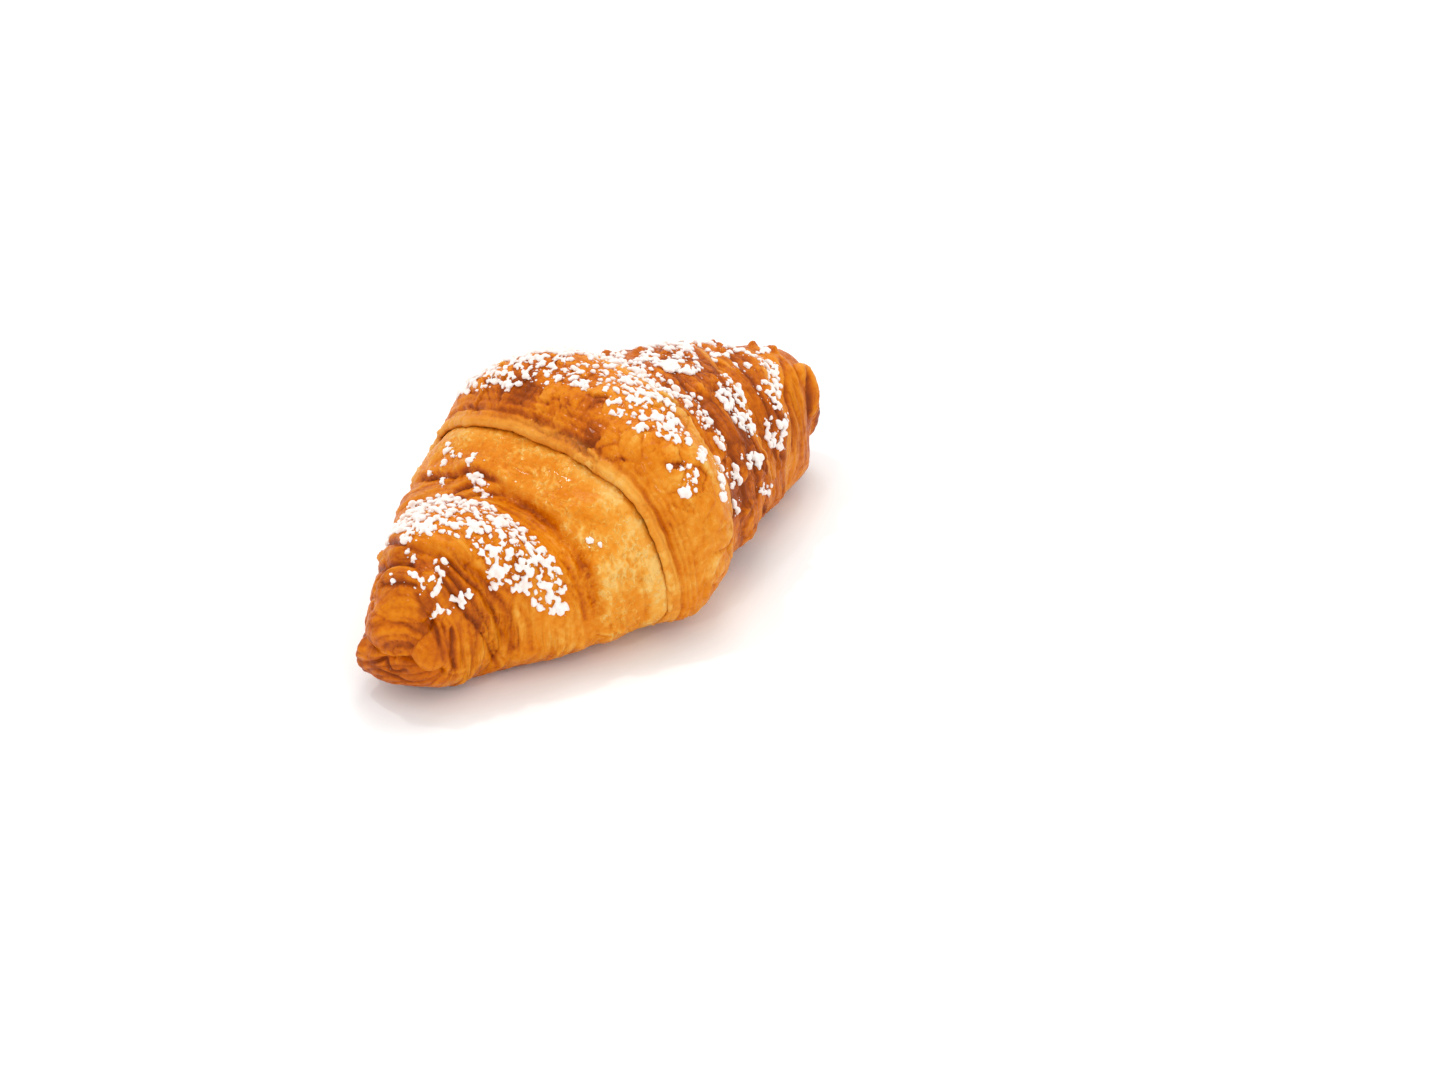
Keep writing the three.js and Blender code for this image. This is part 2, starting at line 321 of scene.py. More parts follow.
@dataclass(frozen=True)
class RolledEdge:
    """The edge of a wrap: where it crosses the crown, how it leans, and how it ends.

    Each crease behind it has a distance from the edge, a depth and a width.
    """

    at: float
    lean: float
    drop: float
    lip: float = 0.0
    merge: float = 0.0
    overhang: float = 0.0
    pale_rim: float = 0.0
    creases: tuple = ()


@dataclass(frozen=True)
class Wrap:
    """One wrap of dough: how it swells, how its skin is wrinkled, and how brown it baked."""

    name: str
    bulge: float
    wrinkle: float
    squiggle: float
    plate: float
    flake: float
    bake: float


@dataclass(frozen=True)
class Swell:
    """A rise or a dent of the dough round a point of the loaf."""

    centre: tuple
    rise: float
    reach: float


@dataclass(frozen=True)
class SkinLine:
    """A crease or a ridge: its course over the skin, in mm along and in half turns around.

    Its height is below 0 for a crease; the lift raises the skin on the side of the far tip; its shade is
    painted shade along it.
    """

    course: tuple
    height: float
    width: float
    lift: float = 0.0
    shade: float = 0.0


@dataclass(frozen=True)
class Lobe:
    """A pillow of dough folded into a tip; its layers lie flat, or roll round a line along the pastry."""

    centre: tuple
    reach: tuple
    rise: float
    bake: float
    layers: float = 0.0
    rolled_round: tuple = ()


@dataclass(frozen=True)
class BakeAndShadeSpot:
    """A place made darker or paler, mostly by its bake and in a few by painted shade: mm along, half turns
    around, reach in mm, and the change.
    """

    along: float
    around: float
    reach: float
    change: float


@dataclass(frozen=True)
class SugarPatch:
    """A patch of the crown that holds sugar: how full it is, and its outline in mm and half turns."""

    cover: float
    outline: tuple


class Crust:
    """The baked surface over the loaf: rolled edges, creases, wrinkles, plates and blisters."""

    # the form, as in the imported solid
    NEAR_EDGES = 4  # these step down towards the near tip, the others towards the far one
    UNDERSIDE_RELIEF = 0.25  # share of the relief left on the tray
    PRESSED_HEIGHTS = (1, 9)  # between which the relief grows whole
    UNEVEN_WAVELENGTHS = (15, 19.5, 24, 28.5, 33)  # broad unevenness of the dough
    UNEVEN_HEIGHT = 0.26  # of each of its waves
    UNEVEN_HEADING = 0.7  # of the first wave, seen from above
    UNEVEN_CLIMB = (1, 3.1)  # first and next angle, whose cosine is the climb
    UNEVEN_START = 1.3  # phase from wave to wave
    GOLDEN_ANGLE = math.pi * (3 - math.sqrt(5))  # heading from wave to wave
    EDGE_WAVES = ((0.7, 3, 1.7), (0.4, 7, 2.9))  # height, number around, turn from edge to edge

    # rolled edges and the creases behind them
    EDGE_RIPPLES = (Ripple(7.0, 0, 0.5), Ripple(2.4, 0, 0.3))
    RING_RADIUS, RING_GAP = 25.0, 40.0  # of the rings that noise is read on
    THIN_LIP = 0.45  # share of its height left low on the hollow side
    LIP_GROWS = (-0.05 * math.pi, 0.22 * math.pi)  # angles between which it grows whole
    CREASE_DRIFT = (Ripple((30, 11, 9), 5, 0.6), Ripple((30, 3, 9), 5, 0.2))
    FULL_DRIFT = 3.5  # how far from the edge a crease drifts by all of it
    CREASE_FADE = Ripple((30, 16, 9), 41)
    CREASE_SHADE = 0.75
    RIM_WEAR = Ripple((4, 12, 9), 70)
    RIM_ENDS = (1.35, 0.5)  # where a pale rim is gone and where it is whole, in its widths
    RISE_WIDTH = 3.6  # over which a wrap rises to its neighbour

    # free lines and folded tips
    LINE_POINTS = 60
    LINE_ENDS = 0.15  # share of a line over which an end fades
    LINE_WANDER = Wander(0.45, 5.0, (3, 15, 27))
    LOBE_WANDER = Wander(0.6, 4.0, (6, 18, 24))
    LOBE_SQUARENESS = 3.4
    LOBE_SEAT = 1.5  # how far the folds are sunk into the solid's surface
    LOBES_FROM = 54.0  # x at which the folds start, at either tip
    LOBE_FADE = 6.0  # over which they grow whole
    LAYER_LEAN, LAYER_ROUNDNESS, LAYER_RISE = 0.25, 0.35, 0.25
    LAYER_RIPPLE = Ripple(8.0, 8, 0.9)
    FOLD_BAKE = 0.75  # where no lobe shows

    # fine relief
    BLISTERS = 110
    BLISTER_SPANS = ((-60, 62), (-0.1, 1.1))  # in mm along and in half turns around
    SKIN_PULL = np.array([1.3, 0.8, 0.0])  # how far wrinkles are pulled along and around
    SKIN_PULL_RIPPLE = Ripple(7.0)
    WRINKLE = Ripple((3.4, 22.0, 1.0), 0, 2.6)
    STRAND = Ripple((1.9, 11.0, 1.0), 9, 2.6)
    WRINKLED_AREAS = Ripple(13.0, 31)
    SQUIGGLE_WANDER = Wander(1.0, 2.8, (3, 7, 11))
    SQUIGGLES = ((1.0, Ripple(2.6), 0.16), (0.6, Ripple(1.6, 23), 0.18))  # height, noise and width
    SQUIGGLED_AREAS = Ripple(6.0, 77)
    PLATE_WANDER = Wander(1.6, 5.0, (1, 2, 4))
    PLATE_SIZE = 4.6
    PLATED_AREAS = Ripple(11.0, 19)
    FLAKE_LEVELS = Ripple(15.0, 60, 2.4)
    FLAKE_CLIMB = 0.06  # levels for each mm along
    STRANDED_AREAS = Ripple(9.0, 90)
    BAKED_AREAS = Ripple(15.0, 120, 0.12)
    # The first paints ridges and layers paler and hollows darker, as painted highlight and painted shade;
    # the second darkens the crust towards the bottom; the last two are painted shade in folds and along
    # creases.
    RIDGE_BAKE, TRAY_BAKE, FOLD_SHADE, LINE_SHADE = -0.2, 0.25, 0.9, 1.6
    LOW_DARKENING_HEIGHT = 5.0  # below which the crust grows darker towards the bottom

    EDGES = (
        RolledEdge(at=-62.0, lean=-2.7, drop=1.3, merge=1.0),
        RolledEdge(at=-56.3, lean=-5.7, drop=2.4, merge=1.4),
        RolledEdge(at=-27.6, lean=4.9, drop=1.7, merge=2.6),
        RolledEdge(at=-14.3, lean=2.1, drop=3.2, lip=1.75, overhang=0.1, pale_rim=3.0,
                   creases=((3.3, 1.3, 0.65), (5.0, 0.45, 0.4), (6.5, 0.4, 0.4), (8.1, 0.3, 0.4),
                            (1.8, 0.45, 0.3))),
        RolledEdge(at=13.3, lean=2.9, drop=1.8, lip=1.3, overhang=0.3, pale_rim=4.0,
                   creases=((4.2, 0.4, 0.7), (2.0, 0.15, 0.5))),
        RolledEdge(at=37.4, lean=4.3, drop=2.2, lip=1.7, overhang=0.5, pale_rim=1.0,
                   creases=((3.4, 0.5, 0.7), (6.0, 0.35, 0.6))),
        RolledEdge(at=48.1, lean=2.2, drop=1.8, lip=1.5, overhang=0.5, pale_rim=0.8,
                   creases=((2.8, 0.45, 0.7),)),
    )
    WRAPS = (
        Wrap("near_tip", bulge=0.2, wrinkle=0.42, squiggle=0.03, plate=0.1, flake=0.1, bake=0.62),
        Wrap("near_collar", bulge=0.8, wrinkle=0.66, squiggle=0.04, plate=0.15, flake=0.15, bake=0.62),
        Wrap("near_wrap", bulge=1.6, wrinkle=0.48, squiggle=0.1, plate=0.25, flake=0.2, bake=0.52),
        Wrap("flank_wrap", bulge=0.8, wrinkle=0.08, squiggle=0.34, plate=0.2, flake=0.06, bake=0.44),
        Wrap("middle_wrap", bulge=1.7, wrinkle=0.14, squiggle=0.14, plate=0.55, flake=0.25, bake=0.46),
        Wrap("far_wrap", bulge=1.2, wrinkle=0.36, squiggle=0.08, plate=0.4, flake=0.3, bake=0.7),
        Wrap("far_collar", bulge=1.0, wrinkle=0.4, squiggle=0.08, plate=0.3, flake=0.2, bake=0.66),
        Wrap("far_tip", bulge=0.3, wrinkle=0.4, squiggle=0.06, plate=0.15, flake=0.15, bake=0.52),
    )
    SHELLS = ((0, 1, 2, 3), (4,), (5,), (6,), (7,))  # the wraps that each closed piece carries
    SWELLS = (
        Swell((-64, -6, 27), 2.8, 7),
        Swell((-66, -4, 18.5), 2.8, 5),
        Swell((-65.5, -5, 23), -1.2, 2.6),
        Swell((-65.5, 0, 8), 4, 7.5),
        Swell((-65, -14, 14), 3, 5.5),
        Swell((-42, -8, 33), 1.2, 14),
        Swell((25, -24, 20), 1, 12),
        Swell((64, -8, 30), 1.8, 8),
        Swell((64, 2, 14), 1.6, 8),
    )
    LINES = tuple(SkinLine(*row) for row in (  # course, height, width, lift and shade
        # folds of the near collar, low on the hollow side
        (((-59.2, 0.42), (-59.4, 0.28), (-58.5, 0.16), (-55.9, 0.04), (-52.7, -0.06), (-48.6, -0.26)),
         -1.0, 0.5, 0.4, 0.1),
        (((-57.4, 0.47), (-57.5, 0.33), (-57.2, 0.23), (-55.3, 0.1), (-53.0, -0.01), (-49, -0.14)),
         -0.7, 0.45, 0.3, 0.1),
        (((-55.8, 0.5), (-55.6, 0.34), (-54.9, 0.24), (-53.0, 0.13), (-51.1, 0.02), (-49.2, -0.06)),
         -0.7, 0.45, 0.3, 0.12),
        (((-56.6, 0.45), (-56.5, 0.34), (-56.0, 0.24), (-54.2, 0.11), (-52.0, 0.0), (-49.5, -0.1)),
         0.45, 0.4),
        (((-53.6, 0.4), (-53.2, 0.28), (-51.6, 0.18), (-49.6, 0.07), (-47.8, -0.03)), 0.4, 0.4),
        (((-54.6, 0.46), (-54.0, 0.33), (-52.4, 0.23), (-50.2, 0.12), (-48.3, 0.02), (-47.0, -0.05)),
         -0.55, 0.55, 0.25, 0.14),
        (((-51.5, 0.3), (-49.4, 0.2), (-47.2, 0.1), (-45.6, 0.0), (-44.8, -0.08)), -0.4, 0.6, 0.15, 0.08),
        # the collar's back and crown
        (((-57, 0.5), (-55.5, 0.65), (-51, 0.8), (-46, 0.95)), -0.8, 0.8, 0.3, 0.15),
        (((-60, 0.5), (-59, 0.7), (-55, 0.87), (-50, 1.02)), -0.9, 0.8, 0.4, 0.2),
        (((-62.3, 0.41), (-62.6, 0.52), (-62.9, 0.62), (-62.6, 0.72), (-60.5, 0.9), (-57, 1.05)),
         -0.8, 0.55, 0.2, 0.12),
        (((-50, 0.78), (-45, 0.9), (-40, 1.02)), -0.7, 0.8, 0.3, 0.12),
        # grooves between the near wrap and the flank
        ((
            (-26, 0.56), (-27.6, 0.46), (-29.1, 0.38), (-30.1, 0.32), (-31.1, 0.23), (-32.7, 0.09),
            (-33.6, 0.0)
        ), -0.95, 1.5, 0.5, 0.06),
        (((-33.6, 0.26), (-34.6, 0.2), (-34.9, 0.14), (-35.5, 0.08), (-35.4, 0.0)), -0.5, 0.8, 0.2, 0.08),
        (((-28.5, 0.46), (-29.8, 0.41), (-31.4, 0.32), (-32.0, 0.26), (-33.2, 0.2)), 0.5, 0.7),
        # creases on the crown of the near wrap and the flank
        (((-23.5, 0.86), (-24.7, 0.77), (-25.3, 0.68), (-24.6, 0.62), (-25.0, 0.56), (-26.0, 0.51)),
         -1.0, 0.7, 0.6, 0.2),
        (((-33.5, 0.74), (-32.7, 0.68), (-31.1, 0.64), (-28.2, 0.62), (-26.9, 0.58)), -1.0, 0.7, 0.6, 0.2),
        (((-35, 0.66), (-33.3, 0.62), (-30.4, 0.58), (-27.9, 0.54), (-26.8, 0.5)), -0.8, 0.6, 0.5, 0.2),
        (((-38, 0.8), (-37, 0.72), (-36.5, 0.66)), -0.6, 0.6, 0.4, 0.12),
        # thin lines low on the near wraps
        (((-30.2, 0.16), (-28.2, 0.08), (-27.6, 0.01), (-26.6, -0.07)), 0.45, 0.5),
        (((-37.1, 0.07), (-36.5, 0.0), (-35.8, -0.06)), 0.45, 0.5),
        (((-42.0, 0.0), (-40.8, -0.06), (-40, -0.12)), 0.4, 0.6),
        (((-22.6, 0.1), (-21.8, 0.02), (-21.6, -0.06)), -0.3, 0.5, 0.0, 0.05),
        # thin ridges of the middle wrap
        (((-12.3, 0.11), (-8, 0.095), (-4.3, 0.08), (3.7, 0.06)), 0.3, 0.4),
        (((-9, 0.16), (-5, 0.17), (0, 0.15)), 0.25, 0.4),
        # lips and folds of the near tip
        (((-63.2, 0.46), (-64.0, 0.4), (-64.4, 0.33), (-64.4, 0.27)), -0.6, 0.4, 0.0, 0.06),
        (((-66.1, 0.84), (-66.5, 0.68), (-66.5, 0.54), (-66.3, 0.44), (-66.3, 0.36), (-66.2, 0.28)),
         -0.5, 0.35, 0.0, 0.04),
        (((-66.4, 0.88), (-66.8, 0.7), (-66.8, 0.55), (-66.6, 0.42), (-66.4, 0.3), (-66.3, 0.22)),
         0.5, 0.8),
        (((-67.2, 0.86), (-67.3, 0.7), (-67.3, 0.5), (-67.2, 0.36), (-67.1, 0.26), (-67.0, 0.2)),
         -0.35, 0.6, 0.0, 0.12),
        (((-65.4, 1.06), (-66.9, 1.0), (-67.4, 0.88), (-67.5, 0.5), (-67.4, 0.2), (-67.2, 0.08)), 0.7, 0.6),
        (((-65.2, 1.1), (-66.9, 1.06), (-67.3, 1.04), (-67.3, 1.3), (-67.4, 1.7), (-67.3, 1.92)),
         -0.7, 0.35, 0.0, 0.22),
        (((-65.3, 1.15), (-66.6, 1.15), (-67.0, 1.25), (-67.1, 1.42), (-67.0, 1.6), (-66.7, 1.72)),
         -0.6, 0.3, 0.0, 0.2),
        (((-64.3, 0.25), (-64.7, 0.16), (-64.8, 0.09), (-64.6, 0.0)), -0.7, 0.4, 0.0, 0.18),
        (((-63.6, 0.2), (-63.6, 0.12), (-63.6, 0.05), (-63.2, -0.02)), -0.5, 0.35, 0.0, 0.12),
        (((-62.0, 0.14), (-62.6, 0.07), (-62.9, 0.01), (-62.3, -0.06)), -0.8, 0.5, 0.0, 0.2),
        # pleats of the far tip
        (((57.5, 0.44), (55.6, 0.37), (51.8, 0.22), (49.9, 0.11), (49, 0.0)), -0.7, 0.7, -0.3, 0.14),
        (((61.5, 0.36), (60.8, 0.24), (60.2, 0.12), (58.5, 0.0)), -0.9, 0.7, -0.4, 0.2),
        (((64, 0.4), (63.6, 0.22), (62.8, 0.06)), -0.8, 0.6, -0.3, 0.2),
        # pleats of the far wraps
        (((27.5, 0.3), (25.5, 0.16), (25, 0.02)), -0.7, 0.7, -0.3, 0.15),
        (((31.5, 0.45), (30.2, 0.25), (29.3, 0.1), (28.5, -0.05)), -0.6, 0.7, -0.3, 0.12),
        (((21, 0.5), (19.4, 0.32), (19, 0.15), (18.6, 0.0)), -0.6, 0.7, -0.2, 0.12),
        (((42.5, 0.5), (41.4, 0.3), (40, 0.1), (39, -0.04)), -0.6, 0.6, -0.3, 0.12),
        # the hidden side
        (((2, 0.88), (-4, 0.8), (-8, 0.7)), -0.6, 0.7, 0.3, 0.1),
        (((20, 0.95), (17, 0.8), (16.5, 0.66)), -0.6, 0.7, 0.3, 0.1),
        (((33, 0.95), (31, 0.8), (30.5, 0.66)), -0.6, 0.7, 0.3, 0.1),
        (((56, 0.95), (55, 0.75), (56.5, 0.6)), -0.6, 0.7, 0.3, 0.1),
    ))
    NEAR_LOBES = (
        Lobe((-64.4, -5.0, 25.2), (8.8, 9.0, 5.6), 2.3, 0.58),
        Lobe((-65.4, -4.6, 18.2), (7.6, 9.0, 4.6), 2.0, 0.69, layers=2.3, rolled_round=(-8.4, 15.4)),
        Lobe((-64.2, -4.2, 8.6), (8.8, 10.5, 5.6), 2.2, 0.72, layers=2.0),
        Lobe((-65.2, -14.4, 15.6), (4.6, 4.4, 4.8), 2.5, 0.56),
        Lobe((-62.4, -15.7, 17.2), (2.2, 3.4, 7.4), 2.2, 0.52),
        Lobe((-58.6, -15.4, 15.0), (4.4, 6.0, 10.5), 2.1, 0.56),
        Lobe((-60.6, -14.2, 6.2), (8.0, 5.5, 3.4), 2.0, 0.58),
        Lobe((-60.4, -11.0, 25.4), (3.8, 5.5, 6.4), 1.8, 0.56),
        Lobe((-62.0, 7.0, 20.0), (7.0, 8.0, 8.5), 2.1, 0.64),
        Lobe((-60.0, 8.0, 7.0), (8.0, 9.0, 7.0), 1.9, 0.7, layers=1.2),
    )
    FAR_LOBES = (
        Lobe((59.8, -14.5, 24.5), (3.4, 4.5, 8.5), 2.4, 0.25),
        Lobe((64.0, -9.5, 16.0), (5.0, 6.5, 9.5), 1.9, 0.86, layers=1.2),
        Lobe((64.5, 1.5, 21.0), (5.5, 8.5, 8.5), 1.8, 0.84, layers=1.2),
        Lobe((63.5, 3.0, 8.0), (6.5, 9.0, 6.0), 2.0, 0.75, layers=1.4),
    )
    SPOTS = tuple(BakeAndShadeSpot(*row) for row in (
        # the flank
        (-18, 0.3, 8, -0.1),
        (-21, 0.1, 9, -0.16),
        (-27, 0.07, 6, -0.1),
        (-20.5, 0.56, 6, 0.12),
        # painted shade in the gap under the middle wrap's rolled edge
        (-14.5, 0.25, 3, 0.16),
        (-24, 0.3, 4, 0.1),
        (-19.6, 0.23, 4, -0.12),
        (-17.4, 0.32, 3, -0.06),
        (-25, 0.42, 9, 0.04),
        (-24, 0.7, 8, 0.08),
        # the near tip, collar and wrap
        (-54, 0.26, 5, 0.04),
        (-58.8, -0.01, 5, 0.02),
        (-61, 0.33, 4, 0.06),
        (-57, 0.78, 8, -0.02),
        (-40, 0.0, 9, -0.12),
        (-30, 0.33, 4, -0.18),
        (-47, 0.3, 6, 0.06),
        # the middle wrap
        (-7.2, 0.6, 6, 0.36),
        (-5.0, 0.48, 4, 0.06),
        # darker behind the middle wrap's rolled edge: browner bake, and painted shade in the groove there
        (-9.2, 0.42, 3.4, 0.28),
        (-7.5, 0.26, 5, -0.06),
        (0, 0.15, 9, -0.08),
        (-8, 0.02, 8, -0.06),
        (7, 0.2, 6, -0.16),
        # the far end
        (54, 0.35, 6, -0.1),
        # darker low on the far tip's hollow side: browner bake, and painted shade
        (61, 0.15, 6, 0.26),
        (21.5, 0.2, 7, 0.02),
        # darker low at the start of the far wrap: browner bake, and painted shade low on the hollow side
        (12.5, 0.06, 3.5, 0.4),
    ))
    DOMES = (  # large blisters: place along and around, radius and rise
        (-5, 0.715, 1.3, 0.9),
        (8, 0.68, 1.2, 0.7),
        (20.5, 0.655, 1.3, 0.9),
        (35.5, 0.645, 1.3, 0.9),
        (46.3, 0.635, 1.3, 0.9),
        (56.0, 0.6, 1.4, 1.0),
    )

    def __init__(self, loaf: Loaf, seed: int = 41) -> None:
        """Sets the loaf and draws the noise and the blisters.

        Args:
            loaf: the smooth form underneath.
            seed: the number that fixes all random detail.
        """
        self.loaf = loaf
        self.noise = DoughNoise(seed)
        self.blisters = self.draw_blisters(seed + 1)
        self.lines = [self.trace(line) for line in self.LINES]

    def draw_blisters(self, seed: int) -> Array:
        """Draws the blisters of the egg-washed skin.

        Args:
            seed: the number that fixes them.

        Returns:
            A row for each: x, y, z, radius and rise.
        """
        draw = np.random.default_rng(seed)
        span, turn = self.BLISTER_SPANS
        along = draw.uniform(*span, self.BLISTERS)
        around = math.pi * draw.uniform(*turn, self.BLISTERS)
        radius = 0.6 + 1.3 * draw.random(self.BLISTERS) ** 2.5
        rise = radius * draw.uniform(0.25, 0.5, self.BLISTERS)
        placed = np.array(self.DOMES).T
        along = np.concatenate([along, placed[0]])
        around = np.concatenate([around, math.pi * placed[1]])
        centres = self.loaf.points(along, around)
        return np.column_stack([centres, np.append(radius, placed[2]), np.append(rise, placed[3])])

    def trace(self, line: SkinLine) -> tuple:
        """Runs a smooth course through a line's points.

        Args:
            line: the line.

        Returns:
            The course's points, its distances along, and how strong the line is at each.
        """
        share = np.linspace(0, 1, self.LINE_POINTS)
        along, around = (smooth_through(values, share) for values in zip(*line.course))
        strength = smooth_step(0, self.LINE_ENDS, share) * smooth_step(1, 1 - self.LINE_ENDS, share)
        return self.loaf.points(along, math.pi * around), along, strength

    def edge(self, index: int, around: Array) -> Array:
        """Says where a rolled edge runs.

        Args:
            index: the edge's number, from the near tip.
            around: angles around the pastry.

        Returns:
            Distances along the centre line.
        """
        edge = self.EDGES[index]
        place = edge.at - edge.lean * np.cos(around)
        for height, count, turn in self.EDGE_WAVES:
            place = place + height * np.sin(count * around + turn * index)
        return place + self.noise.read(self.ring_points(index, around), *self.EDGE_RIPPLES)

    def step(self, index: int, around: Array) -> Array:
        """Says how high a rolled edge stands over its neighbour; it thins out low on the hollow side."""
        return self.EDGES[index].lip * at_least(self.THIN_LIP, smooth_step(*self.LIP_GROWS, around))

    def ring_points(self, index: int, around: Array) -> Array:
        """Lays a ring out in a plane, for noise that closes on itself."""
        ring = (self.RING_RADIUS * run(around) for run in (np.cos, np.sin))
        return np.stack([*ring, np.full_like(around, self.RING_GAP * index)], -1)

    def skin_points(self, along: Array, around: Array) -> Array:
        """Lays the skin out flat, for noise that runs along the wraps."""
        return np.stack([along, self.loaf.girth(along) * around, np.zeros_like(along)], -1)

    def limits(self, wrap: int, around: Array) -> tuple:
        """Says between which distances a wrap shows.

        Args:
            wrap: the wrap's number, from the near tip.
            around: angles around the pastry.

        Returns:
            The lower and the upper distance along the centre line.
        """
        end = self.loaf.end
        low = self.edge(wrap - 1, around) if wrap > 0 else np.full_like(around, -end)
        high = self.edge(wrap, around) if wrap < len(self.EDGES) else np.full_like(around, end)
        return low, high

    def shell_of(self, along: Array, around: Array) -> Array:
        """Says which closed piece shows at places on the pastry."""
        first = len(self.SHELLS[0]) - 1
        return sum((along > self.edge(i, around)).astype(int) for i in range(first, len(self.EDGES)))

    def shares(self, shell: int, along: Array, around: Array) -> dict:
        """Says how much each wrap of a piece counts at places on it; soft edges blend.

        Args:
            shell: the piece's number.
            along: distances along the centre line.
            around: angles around it.

        Returns:
            A weight for each of the piece's wraps.
        """
        wraps = self.SHELLS[shell]
        weights = {wraps[0]: np.ones_like(along)}
        for wrap in wraps[1:]:
            merge = self.EDGES[wrap - 1].merge
            past = smooth_step(-merge, merge, along - self.edge(wrap - 1, around))
            for earlier in weights:
                weights[earlier] = weights[earlier] * (1 - past)
            weights[wrap] = past
        return weights

    def wrap_form(self, wrap: int, along: Array, around: Array) -> Array:
        """Gives a wrap's own slope from edge to edge and its bulge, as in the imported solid.

        Args:
            wrap: the wrap's number, from the near tip.
            along: distances along the centre line.
            around: angles around it.

        Returns:
            Heights.
        """
        low, high = self.limits(wrap, around)
        share = np.clip((along - low) / (high - low), 0, 1)
        start = self.EDGES[wrap - 1].drop if wrap > 0 else 0.0
        stop = self.EDGES[wrap].drop if wrap < len(self.EDGES) else 0.0
        start *= 0.5 if wrap <= self.NEAR_EDGES else -0.5
        stop *= -0.5 if wrap < self.NEAR_EDGES else 0.5
        return start + (stop - start) * share + self.WRAPS[wrap].bulge * 4 * share * (1 - share)

    def common_form(self, base: Array) -> Array:
        """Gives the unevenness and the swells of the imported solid.

        Args:
            base: the loaf's points.

        Returns:
            Heights.
        """
        height = np.zeros(base.shape[:-1])
        first, step = self.UNEVEN_CLIMB
        for k, wavelength in enumerate(self.UNEVEN_WAVELENGTHS):
            turn = self.GOLDEN_ANGLE * k + self.UNEVEN_HEADING
            way = np.array([math.cos(turn), math.sin(turn), math.cos(step * k + first)])
            phase = 2 * math.pi * (base @ way) / wavelength + self.UNEVEN_START * k
            height += self.UNEVEN_HEIGHT * np.sin(phase)
        for swell in self.SWELLS:
            gap = np.linalg.norm(base - np.array(swell.centre), axis=-1)
            height += swell.rise * bell(gap, swell.reach)
        return height

    def rim_relief(self, shell: int, along: Array, around: Array) -> tuple:
        """Gives the creases behind a piece's own rims and the grooves under its neighbours' rims.

        Args:
            shell: the piece's number.
            along: distances along the centre line.
            around: angles around it.

        Returns:
            Heights, how much each place belongs to a pale rim, and how much painted shade it takes in a
            crease or under a neighbour's rim.
        """
        wraps = self.SHELLS[shell]
        skin = self.skin_points(along, around)
        drift = self.noise.read(skin, *self.CREASE_DRIFT)
        height, rim, groove = (np.zeros_like(along) for _ in range(3))
        for index, way in ((wraps[0] - 1, 1), (wraps[-1], -1)):
            if not 0 <= index < len(self.EDGES):
                continue
            edge = self.EDGES[index]
            distance = way * (along - self.edge(index, around))
            if (way == 1) == (index < self.NEAR_EDGES):
                fade = at_least(0.25, smooth_step(-0.6, 0.6, self.noise.read(skin, self.CREASE_FADE)))
                for place, depth, width in edge.creases:
                    dip = fade * bell(distance + drift * place / self.FULL_DRIFT - place, width)
                    height -= depth * dip
                    # painted shade along each crease behind the rim
                    groove = np.maximum(groove, self.CREASE_SHADE * min(depth, 1) * dip)
                worn = at_least(0.35, smooth_step(-0.6, 0.2, self.noise.read(skin, self.RIM_WEAR)))
                out, whole = (share * edge.pale_rim for share in self.RIM_ENDS)
                rim = np.maximum(rim, worn * smooth_step(out, whole, distance + drift))
            else:
                step = self.step(index, around)
                height += (edge.drop - step) * bell(distance, self.RISE_WIDTH)
                # painted shade in the gap under the neighbour's rolled edge
                groove = np.maximum(groove, 0.8 * bell(distance, 0.5 * step))
        return height, rim, groove

    def line_relief(self, base: Array, along: Array) -> tuple:
        """Gives the creases and ridges that run free over the skin.

        Args:
            base: the loaf's points.
            along: their distances along the centre line.

        Returns:
            Heights, and how much painted shade each place takes along the creases.
        """
        shape = along.shape
        flat, places = base.reshape(-1, 3), along.ravel()
        flat = flat + self.noise.drift(flat, self.LINE_WANDER)
        height, shade = np.zeros(len(flat)), np.zeros(len(flat))
        for line, (points, course, strength) in zip(self.LINES, self.lines):
            margin = 4 * line.width + 2
            near = np.all((flat > points.min(0) - margin) & (flat < points.max(0) + margin), axis=1)
            if not near.any():
                continue
            gaps = np.linalg.norm(flat[near, None] - points[None], axis=-1)
            nearest = gaps.argmin(1)
            gap = gaps[np.arange(len(gaps)), nearest]
            power = strength[nearest]
            beyond = places[near] > course[nearest]
            height[near] += power * line.height * bell(gap, line.width)
            ramp = smooth_step(0, line.width, gap) * smooth_step(margin, 0, gap) * beyond
            height[near] += power * line.lift * ramp
            shade[near] = np.maximum(shade[near], power * line.shade * bell(gap, 1.1 * line.width))
        return height.reshape(shape), shade.reshape(shape)

    def layering(self, lobe: Lobe, base: Array) -> Array:
        """Gives the thin layers that show at a lobe's end.

        Args:
            lobe: the lobe.
            base: the loaf's points.

        Returns:
            Values from -0.8 between two layers to 0.2 on one, or 0 for a smooth lobe.
        """
        if not lobe.layers:
            return np.zeros(base.shape[:-1])
        level = base[..., 2] + self.LAYER_LEAN * base[..., 1]
        if lobe.rolled_round:
            y, z = lobe.rolled_round
            level = np.hypot(base[..., 1] - y, base[..., 2] - z)
        level = level + self.noise.read(base, self.LAYER_RIPPLE)
        return np.abs(np.sin(lobe.layers * level)) ** self.LAYER_ROUNDNESS - 0.8

